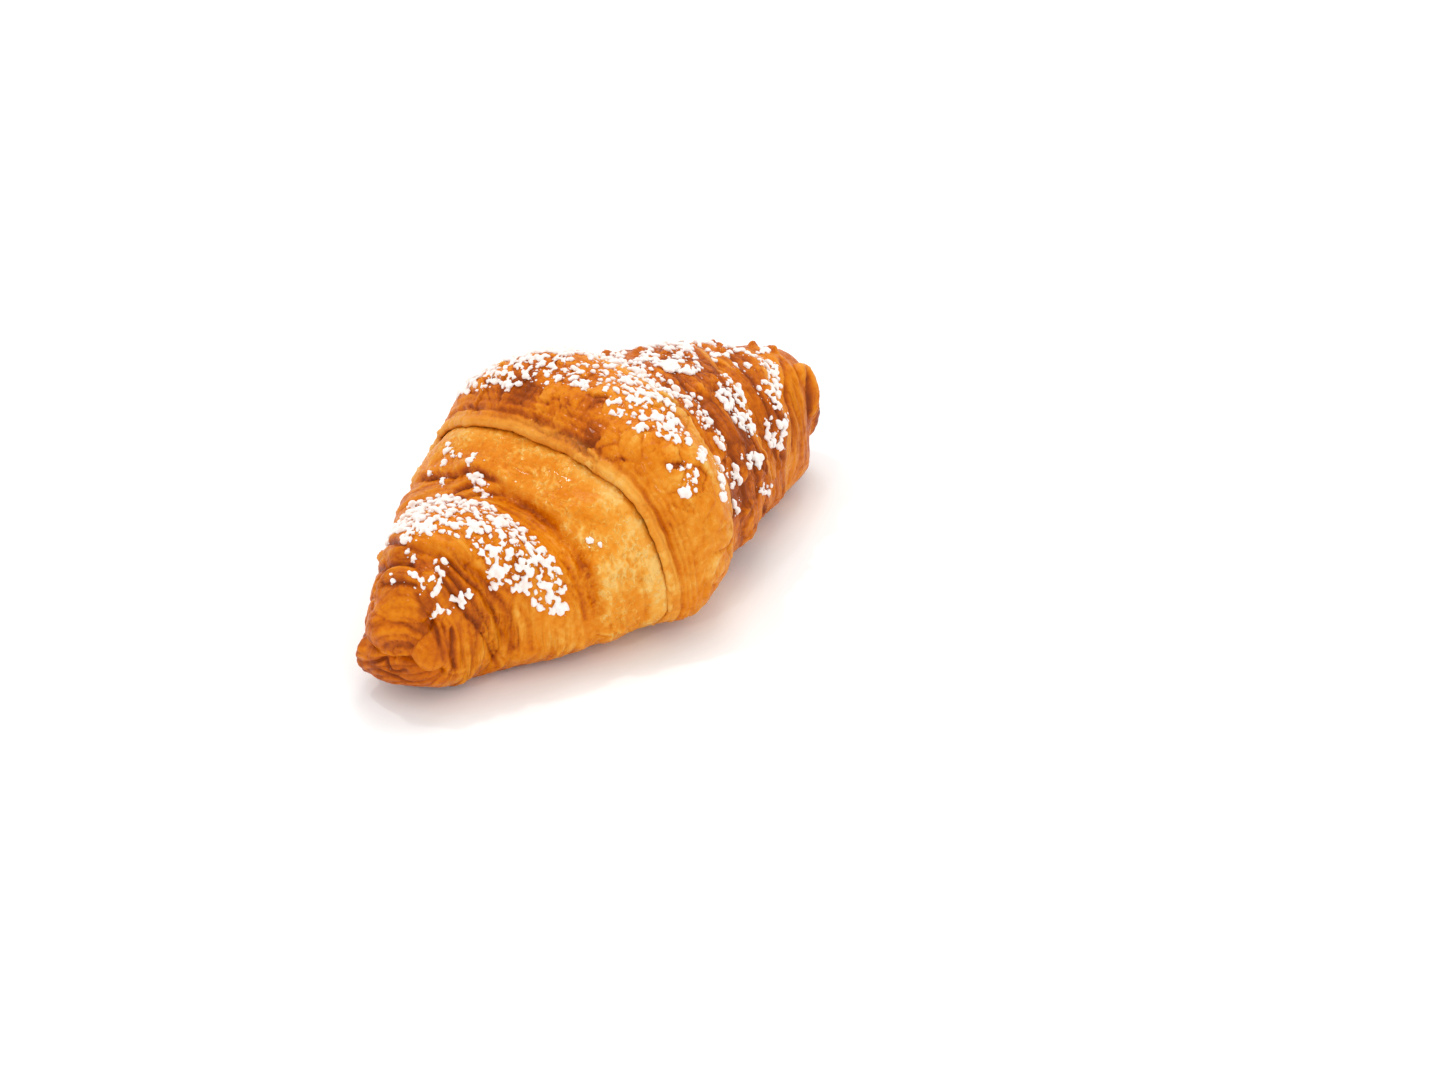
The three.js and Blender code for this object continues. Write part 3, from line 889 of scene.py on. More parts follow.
    def lobe_relief(self, lobes: tuple, start: float, base: Array) -> tuple:
        """Gives the pillows folded into a tip.

        Args:
            lobes: the tip's lobes.
            start: the x at which the folds have faded out.
            base: the loaf's points.

        Returns:
            Heights, the bake of each place with painted shade between its layers, how much that counts, and
            how much painted shade it takes in a fold between two lobes.
        """
        place = base + self.noise.drift(base, self.LOBE_WANDER)
        best = np.zeros(base.shape[:-1])
        second = np.zeros_like(best)
        bake = np.full_like(best, self.FOLD_BAKE)
        for lobe in lobes:
            out = np.linalg.norm((place - np.array(lobe.centre)) / np.array(lobe.reach), axis=-1)
            layer = self.layering(lobe, base)
            dome = lobe.rise * np.sqrt(np.maximum(1 - out**self.LOBE_SQUARENESS, 0))
            dome = dome * (1 + self.LAYER_RISE * layer)
            higher = dome > best
            second = np.where(higher, best, np.maximum(second, dome))
            # layers are painted paler and the gaps between them darker, as painted highlight and painted
            # shade
            bake = np.where(higher, lobe.bake + self.RIDGE_BAKE * layer, bake)
            best = np.maximum(best, dome)
        window = smooth_step(start, start + math.copysign(self.LOBE_FADE, start), base[..., 0])
        # painted shade where two lobes meet
        fold = 0.7 * smooth_step(0.3, 0.03, best - second) * window
        return window * (best - self.LOBE_SEAT), bake, window * smooth_step(0.2, 0.9, best), fold

    def wrinkles(self, strength: Array, along: Array, around: Array, base: Array) -> tuple:
        """Gives the wrinkles and strands that run round the pastry.

        Args:
            strength: how strong they are at each place.
            along: distances along the centre line.
            around: angles around it.
            base: the loaf's points.

        Returns:
            Heights and changes of tone.
        """
        skin = self.skin_points(along, around)
        skin = skin + self.noise.read(skin, self.SKIN_PULL_RIPPLE)[..., None] * self.SKIN_PULL
        wrinkle = 1 - np.abs(self.noise.read(skin, self.WRINKLE))
        strand = np.abs(self.noise.read(skin, self.STRAND)) - 0.8
        from_seam = np.abs((around - UNDERSIDE + math.pi) % (2 * math.pi) - math.pi)
        free = smooth_step(0.05, 0.4, from_seam)
        free = free * smooth_step(self.loaf.end - 1, self.loaf.end - 6, np.abs(along))
        patchy = smooth_step(-0.5, 0.6, self.noise.read(base, self.WRINKLED_AREAS))
        height = 0.8 * (wrinkle + np.minimum(strand, 0.6)) * at_least(0.3, patchy) * free
        # painted highlight on the wrinkles' ridges and painted shade in the strands' grooves
        tone = 0.2 * smooth_step(-0.5, -0.78, strand) - 0.1 * np.clip(wrinkle, -1, 1)
        return strength * height, strength * tone

    def squiggles(self, strength: Array, base: Array) -> tuple:
        """Gives the curled ridges of puffed skin.

        Args:
            strength: how strong they are at each place.
            base: the loaf's points.

        Returns:
            Heights and changes of tone.
        """
        turned = base + self.noise.drift(base, self.SQUIGGLE_WANDER)
        ridge = sum(height * bell(self.noise.read(turned, ripple), width)
                    for height, ripple, width in self.SQUIGGLES)
        ridge = ridge * smooth_step(-0.5, 0.3, self.noise.read(base, self.SQUIGGLED_AREAS))
        # the curled ridges are painted paler, as a highlight
        return strength * (ridge - 0.4), -0.5 * strength * ridge

    def plates(self, strength: Array, base: Array) -> tuple:
        """Gives the small cracked plates of the brown crown.

        Args:
            strength: how strong they are at each place.
            base: the loaf's points.

        Returns:
            Heights and changes of tone.
        """
        lift, crack = self.noise.plates(base + self.noise.drift(base, self.PLATE_WANDER), self.PLATE_SIZE)
        strength = strength * smooth_step(-0.35, 0.25, self.noise.read(base, self.PLATED_AREAS))
        # raised plates are painted paler as a highlight and sunk ones darker as painted shade; the cracks
        # are darker joints
        return strength * (0.8 * lift - 0.5 * crack), strength * 0.2 * (crack - lift)

    def flakes(self, strength: Array, along: Array, base: Array) -> tuple:
        """Gives thin sheets of skin that each end in a step.

        Args:
            strength: how strong they are at each place.
            along: distances along the centre line.
            base: the loaf's points.

        Returns:
            Heights and changes of tone.
        """
        level = self.noise.layers(base, self.FLAKE_LEVELS) + self.FLAKE_CLIMB * along
        ramp = level - np.floor(level)
        height = strength * (ramp * smooth_step(1.0, 0.94, ramp) - 0.4)
        return height, strength * 0.5 * smooth_step(0.5, 1.0, ramp)

    def domes(self, base: Array) -> tuple:
        """Gives the blisters.

        Args:
            base: the loaf's points.

        Returns:
            Heights and changes of tone.
        """
        height, tone = (np.zeros(base.shape[:-1]) for _ in range(2))
        for x, y, z, radius, rise in self.blisters:
            gap = np.linalg.norm(base - np.array([x, y, z]), axis=-1) / radius
            dome = np.sqrt(np.maximum(1 - gap**2, 0)) * smooth_step(1.0, 0.7, gap)
            height += rise * dome
            tone += 0.12 * dome
        return height, tone

    def fine_relief(self, kinds: dict, along: Array, around: Array, base: Array) -> tuple:
        """Adds up all fine relief.

        Args:
            kinds: how strong each kind of relief is at each place.
            along: distances along the centre line.
            around: angles around it.
            base: the loaf's points there.

        Returns:
            Heights, and how much darker or paler each place is for them.
        """
        parts = (
            self.wrinkles(kinds["wrinkle"], along, around, base),
            self.squiggles(kinds["squiggle"], base),
            self.plates(kinds["plate"], base),
            self.flakes(kinds["flake"], along, base),
            self.domes(base),
        )
        heights, tones = zip(*parts)
        return sum(heights), sum(tones)

    def material_masks(self, kinds: dict, base: Array) -> dict:
        """Says how much strand, curl and cracked plate the material adds.

        Args:
            kinds: how strong each kind of relief is at each place.
            base: the loaf's points.

        Returns:
            The masks by name.
        """
        most = {"wrinkle": 0.6, "squiggle": 0.34, "plate": 0.5}  # the strength that counts as full
        strand, curl, plate = (kinds[kind] / full for kind, full in most.items())
        return {
            "strand": strand * smooth_step(-0.5, 0.5, self.noise.read(base, self.STRANDED_AREAS)),
            "curl": curl * np.ones(base.shape[:-1]),
            "plate": plate * smooth_step(-0.4, 0.2, self.noise.read(base, self.PLATED_AREAS)),
        }

    def surface(self, shell: int, along: Array, around: Array, sink: Array | float = 0.0) -> tuple:
        """Places points of one piece.

        Args:
            shell: the piece's number.
            along: distances along the centre line.
            around: angles around it.
            sink: how far under the crust each point lies.

        Returns:
            The points, and all their masks by name.
        """
        base = self.loaf.points(along, around)
        normal = self.loaf.normals(along, around)
        keep = at_least(self.UNDERSIDE_RELIEF, smooth_step(*self.PRESSED_HEIGHTS, base[..., 2]))
        weights = self.shares(shell, along, around)
        kinds = {kind: sum(weight * getattr(self.WRAPS[wrap], kind) for wrap, weight in weights.items())
                 for kind in ("wrinkle", "squiggle", "plate", "flake", "bake")}
        height = self.common_form(base)
        for wrap, weight in weights.items():
            height += weight * self.wrap_form(wrap, along, around)
        rim_height, rim, groove = self.rim_relief(shell, along, around)
        line_height, shade = self.line_relief(base, along)
        fine_height, tone = self.fine_relief(kinds, along, around, base)
        # the bake level also takes the fine relief's painted highlights and shade and the painted shade of
        # the lines' creases
        bake = kinds["bake"] + tone + shade
        for spot in self.SPOTS:
            centre = self.loaf.points(np.array(spot.along), np.array(spot.around * math.pi))
            bake = bake + spot.change * bell(np.linalg.norm(base - centre, axis=-1), spot.reach)
        if shell in (0, len(self.SHELLS) - 1):
            lobes, side = (self.NEAR_LOBES, -1) if shell == 0 else (self.FAR_LOBES, 1)
            start = side * self.LOBES_FROM
            lobe_height, lobe_bake, share, fold = self.lobe_relief(lobes, start, base)
            height += lobe_height
            bake = bake + share * (lobe_bake - kinds["bake"])
            # painted shade in the folds between the tip's lobes
            groove = np.maximum(groove, self.FOLD_SHADE * fold)
        relief = rim_height + line_height + fine_height
        # painted highlight on raised relief and painted shade in sunk relief
        bake = bake + self.RIDGE_BAKE * np.clip(relief, -1, 0.9)
        bake = bake + self.noise.layers(base, self.BAKED_AREAS)
        bake = bake + self.TRAY_BAKE * smooth_step(self.LOW_DARKENING_HEIGHT, 0, base[..., 2])
        points = base + normal * ((height + relief) * keep - sink)[..., None]
        points[..., 2] = np.maximum(points[..., 2], 0)
        masks = {"bake": bake, "rim": rim, "groove": np.maximum(groove, self.LINE_SHADE * shade)}
        return points, masks | self.material_masks(kinds, base)


# -------------------- meshes


class RingMesh:
    """A closed mesh of rings of points around the pastry."""

    def __init__(self, columns: int) -> None:
        """Starts an empty mesh.

        Args:
            columns: how many points each ring has.
        """
        self.columns = columns
        self.around = UNDERSIDE + 2 * math.pi * np.arange(columns) / columns
        self.rings: list = []
        self.skin: list = []
        self.masks: dict = {name: [] for name in MASKS}

    def add(self, points: Array, masks: dict, skin: Array) -> None:
        """Adds a ring, or a stack of rings, with its masks.

        Args:
            points: the points, by ring and by column.
            masks: one array for each mask, shaped like the points.
            skin: the points' places on the skin laid out flat.
        """
        self.rings.append(points)
        self.skin.append(skin)
        for name, values in masks.items():
            self.masks[name].append(values)

    def build(self, name: str, caps: tuple = ()) -> bpy.types.Object:
        """Makes the object.

        Args:
            name: the object's name.
            caps: the points that close the first and the last ring; with none, the rings close on
                themselves.

        Returns:
            The new object.
        """
        rings = np.concatenate(self.rings)
        count = len(rings)
        points = rings.reshape(-1, 3)
        skin = np.concatenate(self.skin).reshape(-1, 3)
        values = {key: np.concatenate(stack).ravel() for key, stack in self.masks.items()}
        column = np.arange(self.columns)
        after = (column + 1) % self.columns
        last_ring = count - 1 if caps else count
        quads = []
        for ring in range(last_ring):
            here = ring * self.columns
            there = ((ring + 1) % count) * self.columns
            quads.append(np.stack([here + column, there + column, there + after, here + after], -1))
        faces = np.concatenate(quads).tolist()
        if caps:
            for cap, ring, start, stop in ((caps[0], 0, after, column), (caps[1], count - 1, column, after)):
                pole = len(points)
                points = np.concatenate([points, cap[None]])
                skin = np.concatenate([skin, skin[ring * self.columns][None]])
                for key in values:
                    values[key] = np.append(values[key], values[key][ring * self.columns])
                fan = np.stack([np.full_like(column, pole), ring * self.columns + stop,
                                ring * self.columns + start], -1)
                faces += fan.tolist()
        made = make_object(name, points, faces, values)
        layer = made.data.attributes.new("skin", "FLOAT_VECTOR", "POINT")
        layer.data.foreach_set("vector", skin.astype(np.float32).ravel())
        return made


def make_object(name: str, points: Array, faces: list, masks: dict) -> bpy.types.Object:
    """Makes a smooth object from points in millimetres.

    Args:
        name: the object's name.
        points: the points, from the middle of the centre line.
        faces: lists of point numbers.
        masks: one array of values for each mask.

    Returns:
        The new object, linked to the scene.
    """
    mesh = bpy.data.meshes.new(name)
    mesh.from_pydata(((points + FRAME_SHIFT) * MM).tolist(), [], faces)
    for key, values in masks.items():
        layer = mesh.attributes.new(key, "FLOAT", "POINT")
        layer.data.foreach_set("value", np.clip(values, 0, 1).astype(np.float32))
    mesh.update()
    mesh.shade_smooth()
    item = bpy.data.objects.new(name, mesh)
    bpy.context.collection.objects.link(item)
    return item


@dataclass
class WrapBuilder:
    """Builds each piece of dough as a closed ring or cap, with its rolled edges."""

    crust: Crust
    spacings: tuple = (0.4, 0.34, 0.34, 0.34, 0.34)
    names: tuple = ("near_wraps", "middle_wrap", "far_wrap", "far_collar", "far_tip")
    lip_rows: int = 13
    lip_body: float = 0.4  # how much thicker a lip is than its step
    lip_ripples: tuple = (Ripple(9.0, 300, 0.28), Ripple(2.8, 340, 0.2))
    overhang_ripples: tuple = (Ripple(7.0, 370, 0.7), Ripple(2.2, 390, 0.4))
    # painted shade on the underside of a rolled edge
    lip_shade: float = 0.9
    lip_gap: float = 0.3  # from a lip to the first row of skin
    tuck: float = 5.0  # how far a piece runs on under its neighbour
    tuck_steps: tuple = (0.35, 0.7, 1.2, 2.0, 3.2)
    tuck_slope: float = 0.5
    depth: float = 6.0  # of a piece's inner side
    inset: float = 1.0  # of the inner side from a tucked end
    ring_inset: float = 3.0  # of a ring's inner side from its edges
    cores: tuple = (-15.0, 45.0)  # where the end pieces close, inside the pastry
    pole_rows: int = 64
    pole_reach: float = 9.0  # from a tip, over which rows are closer

    def columns(self, shell: int) -> int:
        """Counts the points around a piece at its widest.

        Args:
            shell: the piece's number.

        Returns:
            The number of columns.
        """
        angles = np.linspace(0, 2 * math.pi, 60)
        wraps = self.crust.SHELLS[shell]
        low = self.crust.limits(wraps[0], angles)[0]
        high = self.crust.limits(wraps[-1], angles)[1]
        middle = (low.mean() + high.mean()) / 2
        return int(2 * math.pi * self.crust.loaf.girth(middle) / self.spacings[shell])

    def profile(self, index: int, around: Array) -> tuple:
        """Says how thick and how far over its neighbour a rolled edge is.

        Args:
            index: the edge's number.
            around: angles around the pastry.

        Returns:
            The lip's radius and its overhang.
        """
        ring = self.crust.ring_points(index, around)
        thick, far = (1 + self.crust.noise.read(ring, *ripples)
                      for ripples in (self.lip_ripples, self.overhang_ripples))
        radius = 0.5 * (self.crust.step(index, around) + self.lip_body) * thick
        return radius, self.crust.EDGES[index].overhang * far

    def add_row(self, mesh: RingMesh, shell: int, along: Array, sink: Array | float, groove: float) -> None:
        """Adds a row of points.

        Args:
            mesh: the mesh that grows.
            shell: the piece's number.
            along: the row's distances along the centre line.
            sink: how far under the crust it lies.
            groove: how much painted shade the row takes at least.
        """
        points, masks = self.crust.surface(shell, along, mesh.around, sink)
        masks["groove"] = np.maximum(masks["groove"], groove)
        skin = self.crust.skin_points(along, mesh.around)
        mesh.add(points[None], {key: value[None] for key, value in masks.items()}, skin[None])

    def lip(self, mesh: RingMesh, shell: int, index: int, outward: int) -> None:
        """Adds the rounded end of a piece, from underneath to the top or back.

        Args:
            mesh: the mesh that grows.
            shell: the piece's number.
            index: the number of its edge.
            outward: -1 where the edge faces the near tip, 1 where it faces the far one.
        """
        line = self.crust.edge(index, mesh.around)
        radius, overhang = self.profile(index, mesh.around)
        turns = np.linspace(-0.5, 0.5, self.lip_rows) * math.pi
        for turn in turns if outward < 0 else turns[::-1]:
            along = line + outward * (overhang + radius * (math.cos(turn) - 1))
            # painted shade on the lip's underside
            shade = self.lip_shade * smooth_step(0.5, -0.6, math.sin(turn))
            self.add_row(mesh, shell, along, radius * (1 - math.sin(turn)), shade)

    def tucked_rows(self, mesh: RingMesh, shell: int, start: Array, way: int) -> None:
        """Adds the rows that run on under the next piece.

        Args:
            mesh: the mesh that grows.
            shell: the piece's number.
            start: the edge that the rows pass under, for each column.
            way: 1 where they run towards the far tip, -1 towards the near one.
        """
        steps = (*self.tuck_steps, self.tuck)
        for step in steps if way > 0 else steps[::-1]:
            # rows tucked under the next piece take full painted shade
            self.add_row(mesh, shell, start + way * step, self.tuck_slope * step, 1.0)

    def skin_shares(self, shell: int, start: Array, stop: Array) -> Array:
        """Spaces the rows of a piece's skin, closer where they converge at a tip.

        Args:
            shell: the piece's number.
            start: where the rows start, for each column.
            stop: where they end.

        Returns:
            How far along the skin each row lies, from 0 to 1.
        """
        length = float(np.mean(stop - start))
        count = int(length / self.spacings[shell])
        even = (np.arange(count) + 0.5) / count
        if shell not in (0, len(self.names) - 1):
            return even
        bend = self.pole_reach / length
        pole = bend * np.linspace(0, 1, self.pole_rows)[1:] ** self.crust.loaf.tip_roundness
        shares = np.concatenate([pole, even[even > bend]])
        return shares if shell == 0 else 1 - shares[::-1]

    def build(self, shell: int) -> bpy.types.Object:
        """Builds one piece.

        Args:
            shell: the piece's number.

        Returns:
            The new object.
        """
        crust = self.crust
        first, last = crust.SHELLS[shell][0], crust.SHELLS[shell][-1]
        mesh = RingMesh(self.columns(shell))
        low, high = crust.limits(first, mesh.around)[0], crust.limits(last, mesh.around)[1]
        start, stop = low, high
        own_low = 0 < first <= crust.NEAR_EDGES
        own_high = crust.NEAR_EDGES <= last < len(crust.EDGES)
        if own_low:
            radius, overhang = self.profile(first - 1, mesh.around)
            start = low + radius - overhang + self.lip_gap
            self.lip(mesh, shell, first - 1, -1)
        elif shell > 0:
            # the hidden inner rows take full painted shade
            self.add_row(mesh, shell, low - self.tuck + self.inset, self.depth, 1.0)
            self.tucked_rows(mesh, shell, low, -1)
        if own_high:
            radius, overhang = self.profile(last, mesh.around)
            stop = high - radius + overhang - self.lip_gap
        along = start + (stop - start) * self.skin_shares(shell, start, stop)[:, None]
        around = np.broadcast_to(mesh.around, along.shape)
        mesh.add(*crust.surface(shell, along, around), crust.skin_points(along, around))
        if own_high:
            self.lip(mesh, shell, last, 1)
        elif last < len(crust.EDGES):
            self.tucked_rows(mesh, shell, high, 1)
        end = crust.loaf.end
        near_core, far_core = (self.middle(core) for core in self.cores)
        if shell == 0:
            # the hidden inner row takes full painted shade
            self.add_row(mesh, shell, high + self.inset, self.depth, 1.0)
            return mesh.build(self.names[shell], (self.pole(shell, -end), near_core))
        if shell == len(self.names) - 1:
            return mesh.build(self.names[shell], (far_core, self.pole(shell, end)))
        # the hidden inner rows take full painted shade
        self.add_row(mesh, shell, high - self.ring_inset, self.depth, 1.0)
        self.add_row(mesh, shell, (low + high) / 2, self.depth, 1.0)
        if own_low:
            self.add_row(mesh, shell, low + self.ring_inset, self.depth, 1.0)
        return mesh.build(self.names[shell])

    def pole(self, shell: int, along: float) -> Array:
        """Gives the point that closes a tip."""
        near = along - math.copysign(1e-3, along)
        return self.crust.surface(shell, np.full(2, near), np.array([0.0, math.pi]))[0].mean(0)

    def middle(self, along: float) -> Array:
        """Gives a hidden point inside the pastry."""
        sides = self.crust.loaf.points(np.full(2, along), np.array([CROWN, UNDERSIDE]))
        return sides.mean(0)


# -------------------- icing sugar


@dataclass
class IcingSugar:
    """The icing sugar: clumps that run together, and loose grains around them."""

    crust: Crust
    seed: int = 97
    edge_wander: Wander = Wander(1.0, 3.0, (30, 60))  # of the patches' outlines
    patch_gap: float = 5.0  # in the noise, from thin patches to full ones
    clump_ripples: tuple = (Ripple(3.8, 200), Ripple(1.7, 260, 0.4))
    half_cover: float = 0.38  # at which half of a patch holds clumps
    cover_gain: float = 1.3
    clump_voxel: float = 0.23
    clump_radius: tuple = (0.48, 1.0)
    clump_spacing: float = 1.34
    clump_spread: float = 0.2
    clump_seat: float = 0.42  # height of its middle, as a share of its radius
    clump_height: float = 0.85  # as a share of its width
    lumps: int = 5
    lump_share: float = 0.75  # of the clumps that have each lump
    lump_places: tuple = (0.75, 1.25)  # from its middle, as shares of its radius
    lump_sizes: tuple = (0.35, 0.65)
    crumbs: tuple = (Ripple(1.3, 0, 0.12), Ripple(0.65, 9, 0.11))
    lengths: tuple = (1.0, 1.35)  # of a ball, as shares of its size
    widths: tuple = (0.75, 1.0)
    tries_per_area: float = 3.4
    grains_per_area: float = 0.7
    grain_spread: float = 1.5
    grain_height: float = 0.7
    parts: tuple = (("near_sugar", -70, -14), ("middle_sugar", -14, 16), ("far_sugar", 16, 70))
    patches: tuple = tuple(SugarPatch(*row) for row in (
        # near wraps and near tip
        (0.85, (
            (-36.5, 0.84), (-32.7, 0.76), (-31.7, 0.64), (-33.3, 0.53), (-35.2, 0.43), (-34.9, 0.36),
            (-37.4, 0.24), (-38.1, 0.13), (-39, 0.06), (-41.9, 0.06), (-45.7, 0.13), (-50.8, 0.18),
            (-50.8, 0.27), (-51.1, 0.42), (-53.4, 0.5), (-54.9, 0.57), (-59.4, 0.54), (-57.2, 0.61),
            (-42.8, 0.81)
        )),
        (0.75, ((-57.2, 0.44), (-55.9, 0.39), (-59.4, 0.32), (-61.3, 0.36))),
        (0.8, ((-62, 0.49), (-60.4, 0.43), (-60, 0.34), (-61.6, 0.32), (-62.6, 0.39))),
        (0.7, ((-63.7, 0.63), (-62.6, 0.58), (-61.6, 0.52), (-62.3, 0.51), (-63.2, 0.57), (-64, 0.61))),
        (0.6, ((-60, 0.26), (-57.8, 0.24), (-56.2, 0.19), (-58.8, 0.17), (-60, 0.21))),
        (0.6, ((-63.8, 0.3), (-62.3, 0.27), (-61.3, 0.2), (-62.9, 0.21), (-64, 0.26))),
        # the flank
        (0.75, ((-18, 0.76), (-17.7, 0.72), (-20.9, 0.67), (-22.1, 0.68), (-20.9, 0.72))),
        (0.6, ((-24.1, 0.78), (-21.2, 0.76), (-20.5, 0.72), (-21.8, 0.71), (-23.4, 0.74), (-25.6, 0.76))),
        (0.6, ((-25.6, 0.61), (-24.7, 0.59), (-28.8, 0.52), (-31.1, 0.52), (-28.8, 0.57))),
        (0.6, ((-21.5, 0.63), (-21.8, 0.6), (-23.1, 0.6), (-23.1, 0.62))),
        (0.3, ((-26, 0.73), (-25, 0.7), (-26.3, 0.68), (-29.5, 0.69))),
        # the middle wrap
        (0.7, (
            (-4.6, 0.82), (-1.1, 0.78), (3, 0.72), (7.8, 0.68), (11, 0.66), (18.3, 0.66), (22.1, 0.61),
            (14.8, 0.5), (12.6, 0.43), (9.1, 0.36), (6.2, 0.3), (3.3, 0.26), (0.2, 0.28), (-2.1, 0.3),
            (-3.7, 0.36), (-4.3, 0.42), (-1.8, 0.45), (-2.4, 0.52), (-5.3, 0.58), (-6.5, 0.62),
            (-5.9, 0.69), (-6.5, 0.74), (-4.6, 0.82)
        )),
        # the far wraps and far tip
        (0.66, (
            (20.5, 0.53), (31.1, 0.64), (39, 0.64), (34.6, 0.51), (27.9, 0.41), (20.9, 0.43), (18.6, 0.49)
        )),
        (0.6, (
            (17.4, 0.53), (19.9, 0.54), (17, 0.47), (17.7, 0.39), (17, 0.34), (14.5, 0.34), (14.5, 0.37),
            (13.2, 0.44)
        )),
        (0.66, (
            (16.1, 0.36), (19.6, 0.36), (21.5, 0.34), (17.7, 0.26), (15.1, 0.26), (13.5, 0.28), (14.2, 0.32)
        )),
        (0.66, (
            (31.4, 0.38), (34.9, 0.39), (37.1, 0.36), (33.9, 0.23), (34.6, 0.17), (28.8, 0.17),
            (25.6, 0.26), (26.6, 0.33)
        )),
        (0.6, ((15.1, 0.24), (19, 0.24), (19.6, 0.19), (18.6, 0.17), (15.8, 0.18))),
        (0.6, ((14.5, 0.14), (18, 0.13), (18, 0.09), (14.2, 0.1))),
        (0.5, ((21.5, 0.14), (30.4, 0.11), (30.1, 0.08), (21.8, 0.11))),
        (0.6, ((13.5, 0.06), (17, 0.04), (17.4, 0.01), (13.5, 0.02))),
        (0.6, ((25.3, 0.05), (31.7, 0.02), (32, -0.01), (26, 0.02))),
        (0.6, ((41.9, 0.56), (46, 0.57), (50.5, 0.53), (48.9, 0.48), (41.9, 0.47), (37.7, 0.48))),
        (0.6, ((40.3, 0.43), (44.1, 0.43), (44.4, 0.38), (39.7, 0.4))),
        (0.55, (
            (46.7, 0.46), (52.1, 0.48), (54, 0.39), (51.4, 0.28), (45.4, 0.21), (40, 0.23), (41.3, 0.3),
            (46.7, 0.31), (47.9, 0.38)
        )),
        (0.5, ((38.7, 0.21), (45.1, 0.16), (43.8, 0.07), (37.7, 0.1))),
        (0.5, ((53.4, 0.5), (55.3, 0.48), (53, 0.44), (51.1, 0.46))),
        (0.5, ((46.3, 0.19), (50.2, 0.17), (48.6, 0.13), (45.1, 0.14))),
        # thin patches low on the hollow side
        (0.6, ((2.7, 0.24), (6.8, 0.22), (5.9, 0.2), (2.1, 0.22))),
        (0.45, ((-27.2, 0.28), (-25, 0.26), (-25, 0.23), (-26.6, 0.23), (-27.9, 0.26))),
        (0.15, ((-4.3, 0.25), (-0.2, 0.22), (-2.7, 0.17), (-6.2, 0.19))),
        (0.2, ((7.5, 0.19), (11.6, 0.18), (5.6, 0.1), (2.1, 0.12))),
        # the hidden half of the crown
        (0.5, ((-4, 0.8), (2, 0.74), (14, 0.7), (22, 0.66), (20, 0.76), (8, 0.84), (0, 0.88))),
        (0.5, ((24, 0.66), (34, 0.66), (35, 0.74), (30, 0.8), (23, 0.76))),
        (0.4, ((39, 0.6), (45, 0.6), (45, 0.72), (40, 0.74))),
        (0.45, ((-52, 0.66), (-44, 0.82), (-38, 0.86), (-44, 0.9), (-52, 0.8))),
    ))
    draw: np.random.Generator = field(init=False)

    def __post_init__(self) -> None:
        """Seeds the random draws."""
        self.draw = np.random.default_rng(self.seed)

    def seats(self, along: Array, around: Array) -> tuple:
        """Finds where sugar lies on the crust.

        Args:
            along: distances along the centre line.
            around: angles around it.

        Returns:
            The points on the crust and the outward directions there.
        """
        shell = self.crust.shell_of(along, around)
        points = np.zeros((len(along), 3))
        for number in np.unique(shell):
            chosen = shell == number
            points[chosen] = self.crust.surface(int(number), along[chosen], around[chosen])[0]
        return points, self.crust.loaf.normals(along, around)

    def scatter(self, patch: SugarPatch, per_area: float, spread: float) -> tuple:
        """Draws places in a patch.

        Args:
            patch: the patch.
            per_area: how many places to draw for each square millimetre.
            spread: how far outside the outline places may lie, in mm.

        Returns:
            The places along and around.
        """
        outline = np.array(patch.outline) * (1, math.pi)
        girth = float(self.crust.loaf.girth(outline[:, 0].mean()))
        outline[:, 1] *= girth
        low, high = outline.min(0) - spread, outline.max(0) + spread
        count = int(per_area * np.prod(high - low)) + 2
        places = self.draw.uniform(low, high, (count, 2))
        flat = np.column_stack([places, np.full(count, self.patch_gap * patch.cover)])
        drift = self.crust.noise.drift(flat, self.edge_wander)
        inside = self.holds(outline, places + drift + self.draw.normal(0, 0.4 * spread, (count, 2)))
        return places[inside, 0], places[inside, 1] / girth

    @staticmethod
    def holds(outline: Array, places: Array) -> Array:
        """Says which places lie inside an outline.

        Args:
            outline: its corners.
            places: places on the skin laid out flat.

        Returns:
            True or False for each place.
        """
        inside = np.zeros(len(places), bool)
        for (x0, y0), (x1, y1) in zip(outline, np.roll(outline, -1, axis=0)):
            spans = (y0 > places[:, 1]) != (y1 > places[:, 1])
            slope = (x1 - x0) / (y1 - y0) if y1 != y0 else 0.0
            inside ^= spans & (places[:, 0] < x0 + slope * (places[:, 1] - y0))
        return inside

    @staticmethod
    def apart(places: Array, spacing: float) -> Array:
        """Thins places out, so that none is nearer to another than the spacing.

        Args:
            places: places on the skin laid out flat.
            spacing: the least distance between two of them.

        Returns:
            Which places are kept.
        """
        keep = np.ones(len(places), bool)
        for number, place in enumerate(places):
            if keep[number]:
                crowded = np.linalg.norm(places[number + 1:] - place, axis=1) < spacing
                keep[number + 1:] &= ~crowded
        return keep

